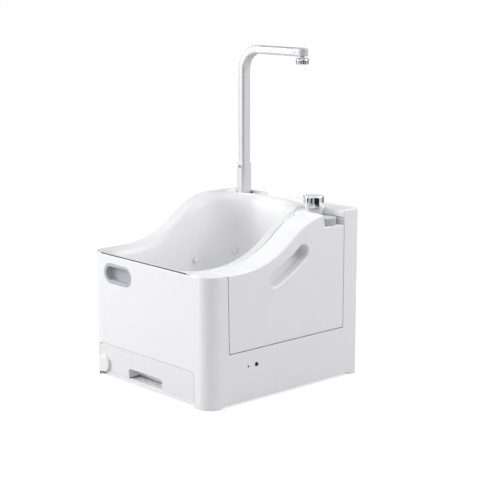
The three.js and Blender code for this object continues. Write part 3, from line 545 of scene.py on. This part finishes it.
# From the rim's outer edge to the drain: loop level, drop below the sweep, fixed height, how far fixed
BOWL = (
    (0, 2.2, 0, 0), (0.006, 1.0, 0, 0), (0.03, 0.4, 0, 0), (0.2, 0.8, 0, 0), (0.5, 1.9, 0, 0),
    (0.85, 4, 0, 0), (1, 6.5, 0, 0), (1.12, 12, 0, 0), (1.22, 24, 0, 0), (1.36, 60, 190, 0.5),
    (1.55, 0, 145, 1), (1.75, 0, 118, 1), (2, 0, 106, 1), (2.4, 0, BASIN_FLOOR + 2, 1),
    (3, 0, BASIN_FLOOR, 1),
)


def hermite(points, per_step):
    """A smooth line through the points, with tangents that suit their spacing."""
    vectors = [Vector(p) for p in points]
    gaps = [max((b - a).length, 1e-6) for a, b in zip(vectors, vectors[1:])]
    slopes = []
    for i in range(len(vectors)):
        if i == 0:
            slopes.append((vectors[1] - vectors[0]) / gaps[0])
        elif i == len(vectors) - 1:
            slopes.append((vectors[-1] - vectors[-2]) / gaps[-1])
        else:
            before = (vectors[i] - vectors[i - 1]) / gaps[i - 1]
            after = (vectors[i + 1] - vectors[i]) / gaps[i]
            share = gaps[i - 1] / (gaps[i - 1] + gaps[i])
            slopes.append(before * (1 - share) + after * share)
    line = []
    for i, gap in enumerate(gaps):
        for step in range(per_step):
            t = step / per_step
            a = 2 * t ** 3 - 3 * t ** 2 + 1
            b = t ** 3 - 2 * t ** 2 + t
            c = -2 * t ** 3 + 3 * t ** 2
            d = t ** 3 - t ** 2
            point = vectors[i] * a + slopes[i] * (b * gap) + vectors[i + 1] * c
            line.append(point + slopes[i + 1] * (d * gap))
    line.append(vectors[-1])
    return line


def bowl_ring(level, drop, height, fixed, grow=0.0, thick=0.0):
    """One closed ring of the bowl, moved outwards by grow and down by thick."""
    return [
        (x, y, mix(sweep_height(y) - drop, height, fixed) - thick)
        for x, y in loop_points(level, grow)
    ]


def build_basin():
    rings = [bowl_ring(*row) for row in BOWL]
    count = len(rings[0])
    columns = [hermite([ring[i] for ring in rings], 5) for i in range(count)]
    under = []
    for level, drop, height, fixed in BOWL[::-1]:
        thick = 8 if level < 0.1 else 3
        grow = 0 if level < 0.1 or level > 2.9 else 2.4
        if 0 < level < 0.2:
            continue
        under.append(bowl_ring(level, drop, height, fixed, grow, thick))
    rows = len(columns[0]) + len(under)
    points = []
    for i in range(count):
        points += [tuple(p) for p in columns[i]] + [ring[i] for ring in under]
    faces = []
    for i in range(count):
        after = (i + 1) % count
        for row in range(rows):
            down = (row + 1) % rows
            faces.append([i * rows + row, i * rows + down, after * rows + down, after * rows + row])
    bowl = make("bowl", points, faces)
    dress(bowl, "wash_basin", BASIN_WHITE, "casing", ["basin"], sharp=60, weighted=False)
    # Painted shade: the rim's outer side faces at the front and right, inside the gap to the casing, get the
    # near-black painted shade.
    return second_finish_or_painted_shade(bowl, JOINT_PAINTED_SHADE, lambda c, n: (
        abs(n.z) < 0.7 and (c[0] > BASIN_RIGHT - 0.15 or c[1] < BASIN_FRONT + 0.15)
    ))


build_basin()


def build_strainer():
    low, high = span("drain_strainer")[2]
    top = BASIN_FLOOR + 3
    profile = [
        (0, low), (16, low), (16, low + 2.1), (25.4, top - 0.3), (26, top + 0.2), (25.6, top + 0.9),
        (24.6, high), (22, high - 0.1), (19, top + 0.3), (17.5, top - 0.6), (8, top - 1), (0, top - 1),
    ]
    plate = lathe("plate", profile, (DRAIN_X, DRAIN_Y, 0), segments=72)
    tools = []
    for ring_radius, number, size in ((6.5, 6, 1.9), (12.8, 12, 1.9)):
        for i in range(number):
            angle = 2 * math.pi * i / number
            at = (DRAIN_X + ring_radius * math.cos(angle), DRAIN_Y + ring_radius * math.sin(angle), 0)
            tools.append(bore(size, 95, 115, at, segments=20))
    cut(plate, *tools)
    soften(plate, 0.3, 2, sharp=50)
    return dress(plate, "strainer_plate", STEEL, "casing", ["drain_strainer"])


build_strainer()


# Deck ----------------------------------------------------------------------------------------

def edge_tools(edge_x, edge_y, radius):
    """Tools that round the deck's top edge beside the tank and behind it."""
    quarter = math.pi / 2
    turns = [quarter * i / 8 for i in range(9)]
    curve = [(radius * math.sin(a) - radius, radius * math.cos(a) - radius) for a in turns]
    profile = [(2, 2), (-radius, 2)] + curve + [(2, -radius)]
    beside = []
    for step in range(30):
        y = FRONT + 258 + 3 * step
        beside.append([(edge_x + u, y, sweep_height(y) + v) for u, v in profile])
    behind = []
    for x in (edge_x - 2, HALF + 2):
        behind.append([(x, edge_y - u, RIM_HIGH + v) for u, v in profile])
    return stack("tool", beside), stack("tool", behind)


def build_deck():
    deck = prism(footprint(WALL + GAP), 313, RIM_HIGH, "z")
    overlap(deck, block(-HALF, HALF, FRONT + 266, BACK, 300, 340))
    left, right, front, back, radii = RIM
    rim = rounded(left - GAP, right + GAP, front - GAP, back + GAP, [r + GAP for r in radii], 24)
    recess = prism(footprint(WALL + 6), DECK_TOP, SKY, "z")
    overlap(recess, block(-HALF, 86, FRONT + 290, BACK, 300, SKY))
    cut(
        deck,
        prism(rim, 300, SKY, "z"),
        prism(sky_outline(), -HALF, HALF, "x"),
        recess,
        block(BASIN_RIGHT + GAP, HALF, FRONT + 200, TANK_Y[1] + 1, 300, SKY),
        bore(17.5, 300, 340, (SPOUT_X, SPOUT_Y, 0), segments=48),
        bore(6, 300, 340, (KNOB_X, KNOB_Y, 0), segments=32),
        notch_tool(),
    )
    soften(deck, 0.8, 3)
    cut(deck, *edge_tools(BASIN_RIGHT + GAP, TANK_Y[1] + 1, 5.5))
    return dress(deck, "back_deck", WHITE, "casing", ["rear_deck"])


build_deck()


def build_liner():
    x, y, z = span("bay_liner")
    liner = block(x[0], x[1], y[0], y[1], z[0], 312.5)
    outlet_y, outlet_z = FRONT + 300, 116
    cut(
        liner,
        block(x[0] + 3, HALF, TANK_Y[0] - 1.2, TANK_Y[1] + 1, TANK_Z[0] - 0.4, SKY),
        bore(7, -20, 20, (TANK_LEFT, outlet_y, outlet_z), "x", 32),
        prism(sky_outline(10.5), 100, HALF, "x"),
    )
    soften(liner, 0.6, 3)
    dress(liner, "bay_lining", PANEL, "casing", ["bay_liner"])
    # Painted shade: the lining's rear wall above the tank, facing forward, gets a darker grey for the shade
    # that falls there.
    return second_finish_or_painted_shade(liner, LINER_PAINTED_SHADE, lambda c, n: c[1] > TANK_Y[1] and c[2] > 290 and n.y < -0.5)


build_liner()


# Tank ----------------------------------------------------------------------------------------

def notch_outline():
    return [(FRONT + 275, SKY), (FRONT + 287, 299.6), (TANK_Y[1] + 10, 299.6), (TANK_Y[1] + 10, SKY)]


def slot_tool():
    """Grip slot: rounded where it meets its floor, and flared where it meets the tank's face."""
    floor, mouth, quarter = 4.0, 3.8, math.pi / 2
    turns = [quarter * i / 6 for i in range(7)]
    steps = [(HALF - SLOT_DEPTH + floor * (1 - math.cos(a)), -floor * (1 - math.sin(a))) for a in turns]
    steps += [(HALF - mouth * (1 - math.sin(a)), mouth * (1 - math.cos(a))) for a in turns]
    steps.append((HALF + 1, mouth + 0.6))
    sections = []
    for x, grow in steps:
        length, width = SLOT_LENGTH + 2 * grow, SLOT_WIDTH + 2 * grow
        outline = bent_slot(SLOT_Y, SLOT_Z, SLOT_SLOPE, SLOT_ARC, length, width)
        sections.append([(x, y, z) for y, z in outline])
    return stack("tool", sections)


def build_tank():
    tank = prism(tank_outline(0, SKY), TANK_LEFT, HALF, "x")
    cut(tank, prism(sky_outline(), 100, 200, "x"))
    soften(tank, 3.0, 6, lambda p: p.x > HALF - 0.5 and p.z > 243 and p.y < TANK_Y[1] - 0.5)
    soften(tank, 2.2, 4, lambda p: p.x < TANK_LEFT + 0.5 and p.z > 243)
    cut(tank, prism(notch_outline(), 100, 200, "x"))
    soften(tank, 0.8, 3)
    cut(tank, slot_tool())
    neck = [(0, 296), (15, 296), (15, 308.6), (14.6, 309), (12.9, 309), (12.5, 308.6), (12.5, 302), (0, 302)]
    join(tank, lathe("tool", neck, (CAP_X, CAP_Y, 0), segments=48))
    return dress(tank, "water_tank", TANK_WHITE, "tank", ["tank_shell"])


build_tank()


def build_cap():
    low, high = span("tank_cap")[2]
    ribs = 28

    def ribbed(angle, z):
        if z >= high - 0.8:
            return 1
        wave = 0.5 + 0.5 * math.cos(ribs * angle)
        return 1 - 0.08 * (1 - wave) ** 1.6

    profile = [
        (0, high - 0.6), (6, high - 0.6), (12.5, high - 0.6), (13.4, high - 0.1), (15.5, high),
        (17.6, high - 0.2), (18.6, high - 0.9), (19, high - 2), (19, low + 1), (18.4, low), (15.6, low),
        (15.6, high - 3.2), (0, high - 3.2),
    ]
    cap = lathe("cap", profile, (CAP_X, CAP_Y, 0), segments=360, wobble=ribbed)
    dress(cap, "filler_cap", FROST, "cap", ["tank_cap"], sharp=50)

    # Painted shade: the faces in the grooves between the ribs get a darker grey for the shade in them.
    def in_groove(c, _):
        from_axis = math.hypot(c[0] - CAP_X, c[1] - CAP_Y)
        return 16.4 < from_axis < 18.2 and low + 0.6 < c[2] < high - 1.6

    return second_finish_or_painted_shade(cap, CAP_GROOVE_PAINTED_SHADE, in_groove)


build_cap()


# Drawer --------------------------------------------------------------------------------------

def build_drawer():
    x, y, z = span("waste_tray")
    left, right, bottom, top = x[0], x[1], z[0], z[1]
    plate = prism(rounded(left, right, bottom, top, [1, 1, 11, 11]), FRONT, FRONT + WALL, "y")
    inner_left, inner_right = left + 6, right - 6
    tub = block(inner_left, inner_right, FRONT + 2, y[1], bottom + 1, 60)
    cut(tub, prism(
        rounded(inner_left + 2.4, inner_right - 2.4, FRONT + 5, y[1] - 2.4, 6), bottom + 3.4, 70, "z",
    ))
    pull_housing = block(-61.4, 42.4, FRONT + 2, FRONT + 28.4, bottom + 1, 34.4)
    join(plate, tub, pull_housing)
    pull = rounded(-59, 40, bottom - 12, 32, 5)
    plug_hole = bore(PLUG_HOLE, -20, 20, (PLUG_X, FRONT, PLUG_Z), "y", 40)
    cut(plate, prism(pull, FRONT - 1, FRONT + 26, "y"), plug_hole)
    soften(plate, 0.6, 3)
    return dress(plate, "waste_drawer", DRAWER_WHITE, "drawer", ["waste_tray"])


build_drawer()


def build_lid():
    x, y, z = span("waste_lid")
    plate = prism(rounded(x[0], x[1], y[0], y[1], 5), z[0], z[1], "z")
    cut(plate, bore(32, 50, 80, (DRAIN_X, DRAIN_Y, 0), segments=72))
    soften(plate, 0.6, 3)
    return dress(plate, "drawer_cover", PANEL, "drawer", ["waste_lid"])


build_lid()


def build_plug():
    x, _, z = span("drain_plug")
    centre = (sum(x) / 2, FRONT, sum(z) / 2)
    radius = (z[1] - z[0]) / 2
    profile = [
        (0, -10), (7.8, -10), (8.2, -9.6), (8.2, 0.4), (radius - 0.3, 0.4), (radius, 0.8), (radius, 2.6),
        (radius - 0.2, 3.4), (radius - 0.8, 4.3), (radius - 1.8, 4.85), (radius - 3, 5), (0, 5),
    ]
    plug = lathe("plug", profile, centre, "y", 72)
    return dress(plug, "waste_plug", WHITE, "plug", ["drain_plug"])


build_plug()


# Front recess --------------------------------------------------------------------------------

def build_recess():
    bezel = prism(recess_outline(0), FRONT, FRONT + 3.2, "y")
    cut(bezel, prism(recess_outline(RECESS_FRAME), FRONT - 1, FRONT + 9, "y"))
    soften(bezel, 1.0, 4)
    dress(bezel, "recess_bezel", GREY, "casing", ["grip_bezel"])
    cup = prism(recess_outline(3.1), FRONT + 3.6, FRONT + 16, "y")
    cut(cup, prism(recess_outline(RECESS_FRAME), FRONT, FRONT + 14, "y"))
    soften(cup, 0.8, 3)
    dress(cup, "recess_cup", GREY, "casing", ["grip_cup"])


build_recess()


# Spout ---------------------------------------------------------------------------------------

def rect_section(width, depth, radius, steps=6):
    return rounded(-width / 2, width / 2, -depth / 2, depth / 2, radius, steps)


def build_sleeve():
    low, high = span("spout_sleeve")[2]
    wall = SLEEVE_WALL
    rings = []

    def ring(grow, z):
        rings.append([
            (SPOUT_X + u, SPOUT_Y + v, z)
            for u, v in rect_section(SLEEVE_WIDTH + 2 * grow, SLEEVE_DEPTH + 2 * grow, SLEEVE_RADIUS + grow)
        ])

    for grow, z in ((-0.4, low), (0, low + 0.4), (0, high - 0.6), (-0.2, high - 0.15), (-0.6, high)):
        ring(grow, z)
    ring(0.2 - wall, high)
    ring(-wall, high - 0.3)
    ring(-wall, low)
    sleeve = tube_between("sleeve", rings)
    hole = bore(2.6, 4, 20, (SPOUT_X, SPOUT_Y, 378), "y", 28)
    cut(sleeve, hole)
    collar_profile = [(14, 315), (14.6, 315.6), (14.6, 322.2), (13.8, 323), (13, 323), (13, 315), (14, 315)]
    collar = lathe("collar", collar_profile, (SPOUT_X, SPOUT_Y, 0), segments=48)
    soften(sleeve, 0.2, 2, lambda p: 370 < p.z < 383)
    join(sleeve, collar)
    return dress(sleeve, "lower_sleeve", SATIN, "sleeve", ["spout_sleeve"])


build_sleeve()


def build_spout():
    (_, high_x), _, (low_z, high_z) = span("spout_tube")
    bend = TUBE_BEND
    axis_z = high_z - TUBE_WIDTH / 2
    route = [((0, low_z), 0.0)]
    for i in range(25):
        angle = math.pi / 2 * i / 24
        route.append(((bend * (1 - math.cos(angle)), axis_z - bend * (1 - math.sin(angle))), angle))
    route.append(((high_x - SPOUT_X, axis_z), math.pi / 2))

    def section(place, angle, inset):
        (along, up) = place
        turned = []
        for u, v in rect_section(TUBE_WIDTH - 2 * inset, TUBE_DEPTH - 2 * inset, TUBE_RADIUS - inset):
            turned.append((SPOUT_X + along + u * math.cos(angle), SPOUT_Y + v, up - u * math.sin(angle)))
        return turned

    outer = [section(place, angle, 0) for place, angle in route]
    inner = [section(place, angle, TUBE_WALL) for place, angle in reversed(route)]
    spout = tube_between("spout", outer + inner)
    return dress(spout, "bent_spout", SATIN, "tube", ["spout_tube"])


build_spout()


def build_end_cap():
    x, y, z = span("spout_end_cap")
    radius = (y[1] - y[0]) / 2
    outline = [(x[0], SPOUT_Y + radius), (x[0], SPOUT_Y - radius)]
    outline += arc(AERATOR_X, SPOUT_Y, radius, -math.pi / 2, math.pi / 2, 28)
    nose = prism(outline, z[0], z[1], "z")
    soften(nose, 2.2, 5, lambda p: p.x > x[0] + 0.5)
    soften(nose, 0.3, 2)
    return dress(nose, "spout_nose", PLATED, "tube", ["spout_end_cap"])


build_end_cap()


def build_neck():
    low, high = span("aerator_neck")[2]
    radius = 4.5
    ball = low + radius
    profile = [(0, low)]
    angles = [math.radians(d) for d in range(-80, 41, 10)]
    profile += [(radius * math.cos(a), ball + radius * math.sin(a)) for a in angles]
    profile += [(4.0, ball + 3), (4.4, ball + 3.2), (4.4, high - 0.2), (4.2, high), (0, high)]
    neck = lathe("neck", profile, (AERATOR_X, SPOUT_Y, 0), segments=48)
    return dress(neck, "ball_neck", CHROME, "tube", ["aerator_neck"])


build_neck()


def build_aerator():
    low, high = span("aerator")[2]
    flutes = 14

    def wobble(angle, z):
        if not low + 1.5 < z < high - 4:
            return 1
        return 1 - 0.035 * max(0, math.cos(flutes * angle)) ** 2

    profile = [
        (9.6, low + 4), (9.4, low + 0.6), (9.8, low), (11.2, low), (11.9, low + 0.4), (12.2, low + 1.2),
        (12.3, low + 1.8), (12.4, low + 4), (12.5, low + 6.5), (12.55, high - 4.4), (12.6, high - 4),
        (12.6, high - 3.4), (12.4, high - 2.8), (11.8, high - 2.3), (11.6, high - 1.4), (11.3, high - 1),
        (9.6, high - 0.3), (8.4, high), (7.6, high), (5.6, high - 0.8), (5.2, high - 1.8), (5.2, low + 5.6),
        (9.6, low + 5.6), (9.6, low + 4),
    ]
    body = lathe("body", profile, (AERATOR_X, SPOUT_Y, 0), segments=224, wobble=wobble)
    return dress(body, "aerator_body", CHROME, "aerator_head", ["aerator"])


build_aerator()


def build_button():
    _, y, z = span("lock_button")
    centre = (SPOUT_X, y[1], sum(z) / 2)
    travel = y[1] - y[0]
    profile = [(0, 0), (2.2, 0), (2.2, travel - 0.6), (2.0, travel - 0.2), (1.5, travel), (0, travel)]
    button = lathe("button", profile, centre, "y", 28)
    return dress(button, "spout_button", DARK, "button", ["lock_button"])


build_button()


def build_bush():
    z = span("spout_bush")[2]
    profile = [
        (14.9, z[0]), (16.9, z[0]), (17.1, z[0] + 0.4), (17.1, z[1] - 1.2), (16.8, z[1] - 0.3), (16, z[1]),
        (15.2, z[1] - 0.2), (14.9, z[1] - 0.6), (14.9, z[0]),
    ]
    bush = lathe("bush", profile, (SPOUT_X, SPOUT_Y, 0), segments=64)
    return dress(bush, "spout_ring", RUBBER, "casing", ["spout_bush"])


build_bush()


# Knob ----------------------------------------------------------------------------------------

def build_knob():
    x, _, z = span("control_knob")
    radius = (x[1] - x[0]) / 2
    low, high = z
    profile = [
        (4.4, low), (radius - 1.4, low), (radius - 0.5, low + 0.3), (radius, low + 1.0),
        (radius, high - 2.6), (radius - 0.25, high - 1.5), (radius - 0.9, high - 0.7),
        (radius - 1.9, high - 0.2), (radius - 3, high), (radius - 4.2, high - 0.1),
        (radius - 5, high - 0.35), (radius - 5.6, high - 0.4), (3, high - 0.25), (0, high - 0.2),
    ]
    knob = lathe("knob", profile, (KNOB_X, KNOB_Y, 0), segments=96)
    dress(knob, "turn_knob", CHROME, "knob", ["control_knob"])
    return second_finish_or_painted_shade(knob, KNOB_FACE, lambda c, n: n.z > 0.8 and c[2] > high - 1)


build_knob()


def build_knob_ring():
    z = span("knob_ring")[2]
    profile = [(4.9, z[0]), (17, z[0]), (17, z[1] - 0.3), (16.7, z[1]), (15, z[1]), (4.9, z[1]), (4.9, z[0])]
    ring = lathe("ring", profile, (KNOB_X, KNOB_Y, 0), segments=72)
    return dress(ring, "knob_base", CHROME, "casing", ["knob_ring"])


build_knob_ring()


# Nodes that keep their CAD shape, with softened edges -----------------------------------------

KEPT = {
    "drawer_rail_left": (GREY, 0.5), "drawer_rail_right": (GREY, 0.5), "tank_coupling": (GREY, 0.4),
    "tailpipe": (GREY, 0.4), "flow_valve": (GREY, 0.8), "pump_bracket": (GREY, 1.0),
    "sleeve_guide": (GREY, 0.6), "tank_outlet": (DARK, 0.3), "pump_body": (DARK, 1.0),
    "battery_pack": (DARK, 3.0), "dc_jack": (DARK, 0.3), "led_lens": (DARK, 0.3),
    "cap_seal": (RUBBER, 0.2), "outlet_seal": (RUBBER, 0.3), "plug_seal": (RUBBER, 0.2),
    "foot_front_left": (RUBBER, 1.0), "foot_rear_left": (RUBBER, 1.0),
    "foot_front_right": (RUBBER, 1.0), "foot_rear_right": (RUBBER, 1.0),
    "spray_nozzle_1": (NOZZLE, 0.3), "spray_nozzle_2": (NOZZLE, 0.3), "spray_nozzle_3": (NOZZLE, 0.3),
    "aerator_screen": (STEEL, 0.2), "valve_spindle": (STEEL, 0.4), "pump_motor": (STEEL, 1.2),
    "base_screw_front_left": (STEEL, 0.5), "base_screw_rear_left": (STEEL, 0.5),
    "base_screw_front_right": (STEEL, 0.5), "base_screw_rear_right": (STEEL, 0.5),
    "control_board": (BOARD, 0.2), "suction_hose": (HOSE, 0), "delivery_hose": (HOSE, 0),
    "riser_hose": (HOSE, 0),
}

for node, (material, width) in KEPT.items():
    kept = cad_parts[node]
    kept.data.materials.clear()
    kept.data.materials.append(material)
    if width:
        edge = kept.modifiers.new("edge", "BEVEL")
        edge.width = width * MM
        edge.segments = 3
        edge.limit_method = "ANGLE"
        edge.angle_limit = math.radians(40)
        edge.harden_normals = True


# Stage ---------------------------------------------------------------------------------------

def build_stage():
    floor = lathe("floor", [(0, 0), (1700, 0)], (0, 0, 0), segments=96)
    floor.name = "floor"
    made, tree, shader = new_material("pale_floor")
    vary_colour(tree, shader, noise(tree, 3, 3), (0.5, 0.5, 0.505), (0.52, 0.52, 0.525))
    shader.inputs["Roughness"].default_value = 0.6
    glow = tree.nodes.new("ShaderNodeEmission")
    glow.inputs["Strength"].default_value = 0.72
    lifted = tree.nodes.new("ShaderNodeAddShader")
    pick = tree.nodes.new("ShaderNodeMixShader")
    path = tree.nodes.new("ShaderNodeLightPath")
    tree.links.new(shader.outputs["BSDF"], lifted.inputs[0])
    tree.links.new(glow.outputs["Emission"], lifted.inputs[1])
    tree.links.new(path.outputs["Is Camera Ray"], pick.inputs["Fac"])
    tree.links.new(shader.outputs["BSDF"], pick.inputs[1])
    tree.links.new(lifted.outputs["Shader"], pick.inputs[2])
    tree.links.new(pick.outputs["Shader"], tree.nodes["Material Output"].inputs["Surface"])
    floor.data.materials.append(made)


build_stage()


def area_light(name, azimuth, elevation, distance, size, power, target=(0, 0, 0.2)):
    light = bpy.data.lights.new(name, "AREA")
    light.shape = "RECTANGLE"
    light.size, light.size_y = size
    light.energy = power
    made = bpy.data.objects.new(name, light)
    a, e = math.radians(azimuth), math.radians(elevation)
    away = Vector((math.sin(a) * math.cos(e), -math.cos(a) * math.cos(e), math.sin(e)))
    made.location = Vector(target) + away * distance
    made.rotation_euler = away.to_track_quat("Z", "Y").to_euler()
    scene.collection.objects.link(made)


area_light("key_left", -50, 24, 2.6, (1.8, 1.4), 45)
area_light("fill_front", 14, 30, 2.4, (1.4, 1.0), 8)
area_light("fill_right", 124, 36, 2.0, (1.2, 1.0), 13)
area_light("top", 0, 88, 2.4, (2.2, 2.2), 6)
area_light("back_high", 163, 47, 2.2, (1.0, 0.5), 11)


# Parts of the room: azimuth of the middle and half width in degrees, lowest and highest sine of
# elevation, and how strong
DARK_ROOM = (
    (82, 28, -1, 0.02, 1), (23, 11, -1, 0.0, 0.9), (-26, 7, -1, 0.02, 1), (180, 36, -1, 0.02, 0.5),
    (-100, 42, -1, 0.1, 0.85), (-122, 56, 0.08, 0.74, 0.75),
)
BRIGHT_ROOM = ((-46, 9, -1, 0.4, 1), (132, 18, -1, 0.3, 0.3))
ROOM_STRENGTH, BRIGHT_STRENGTH = 0.5, 1.2


def smooth_range(tree, value, start, stop, top):
    ranged = tree.nodes.new("ShaderNodeMapRange")
    ranged.interpolation_type = "SMOOTHSTEP"
    ranged.inputs["From Min"].default_value = start
    ranged.inputs["From Max"].default_value = stop
    ranged.inputs["To Max"].default_value = top
    tree.links.new(value, ranged.inputs["Value"])
    return ranged.outputs["Result"]


def combined(tree, operation, first, second):
    node = tree.nodes.new("ShaderNodeMath")
    node.operation = operation
    tree.links.new(first, node.inputs[0])
    tree.links.new(second, node.inputs[1])
    return node.outputs["Value"]


def room_mask(tree, unit, split, parts):
    mask = None
    for azimuth, half, low, high, depth in parts:
        a = math.radians(azimuth)
        toward = tree.nodes.new("ShaderNodeVectorMath")
        toward.operation = "DOT_PRODUCT"
        toward.inputs[1].default_value = (math.sin(a), -math.cos(a), 0)
        tree.links.new(unit.outputs["Vector"], toward.inputs[0])
        outer, inner = math.cos(math.radians(half + 5)), math.cos(math.radians(half - 5))
        band = smooth_range(tree, toward.outputs["Value"], outer, inner, depth)
        above = smooth_range(tree, split.outputs["Z"], low - 0.04, low + 0.04, 1)
        below = smooth_range(tree, split.outputs["Z"], high + 0.06, high - 0.06, 1)
        part = combined(tree, "MULTIPLY", combined(tree, "MULTIPLY", band, above), below)
        mask = part if mask is None else combined(tree, "MAXIMUM", mask, part)
    return mask


def build_world():
    world = bpy.data.worlds.new("studio")
    scene.world = world
    world.use_nodes = True
    tree = world.node_tree
    tree.nodes.clear()
    out = tree.nodes.new("ShaderNodeOutputWorld")
    blend = tree.nodes.new("ShaderNodeMixShader")
    path = tree.nodes.new("ShaderNodeLightPath")
    seen = tree.nodes.new("ShaderNodeBackground")
    lit = tree.nodes.new("ShaderNodeBackground")
    seen.inputs["Color"].default_value = (1, 1, 1, 1)
    lit.inputs["Strength"].default_value = ROOM_STRENGTH
    soft = tree.nodes.new("ShaderNodeBackground")
    soft.inputs["Color"].default_value = (1, 1, 1, 1)
    soft.inputs["Strength"].default_value = BRIGHT_STRENGTH
    room = tree.nodes.new("ShaderNodeMixShader")
    coords = tree.nodes.new("ShaderNodeTexCoord")
    flat = tree.nodes.new("ShaderNodeVectorMath")
    flat.operation = "MULTIPLY"
    flat.inputs[1].default_value = (1, 1, 0)
    unit = tree.nodes.new("ShaderNodeVectorMath")
    unit.operation = "NORMALIZE"
    tree.links.new(coords.outputs["Generated"], flat.inputs[0])
    tree.links.new(flat.outputs["Vector"], unit.inputs[0])
    split = tree.nodes.new("ShaderNodeSeparateXYZ")
    tree.links.new(coords.outputs["Generated"], split.inputs["Vector"])
    dark = room_mask(tree, unit, split, DARK_ROOM)
    bright = room_mask(tree, unit, split, BRIGHT_ROOM)
    tint = tree.nodes.new("ShaderNodeValToRGB")
    tint.color_ramp.elements[0].color = (1, 1, 1, 1)
    tint.color_ramp.elements[1].color = (0.02, 0.024, 0.04, 1)
    tree.links.new(dark, tint.inputs["Fac"])
    tree.links.new(tint.outputs["Color"], lit.inputs["Color"])
    tree.links.new(path.outputs["Is Camera Ray"], blend.inputs["Fac"])
    tree.links.new(bright, room.inputs["Fac"])
    tree.links.new(lit.outputs["Background"], room.inputs[1])
    tree.links.new(soft.outputs["Background"], room.inputs[2])
    tree.links.new(room.outputs["Shader"], blend.inputs[1])
    tree.links.new(seen.outputs["Background"], blend.inputs[2])
    tree.links.new(blend.outputs["Shader"], out.inputs["Surface"])


build_world()


def build_camera():
    lens = bpy.data.cameras.new("camera")
    lens.lens = 104.2
    lens.sensor_width = 36
    made = bpy.data.objects.new("camera", lens)
    made.location = (1.9631, -1.7286, 0.7853)
    made.rotation_euler = Vector((0.7281, -0.6570, 0.1954)).to_track_quat("Z", "Y").to_euler()
    scene.collection.objects.link(made)
    scene.camera = made


build_camera()
scene.view_settings.view_transform = "Standard"
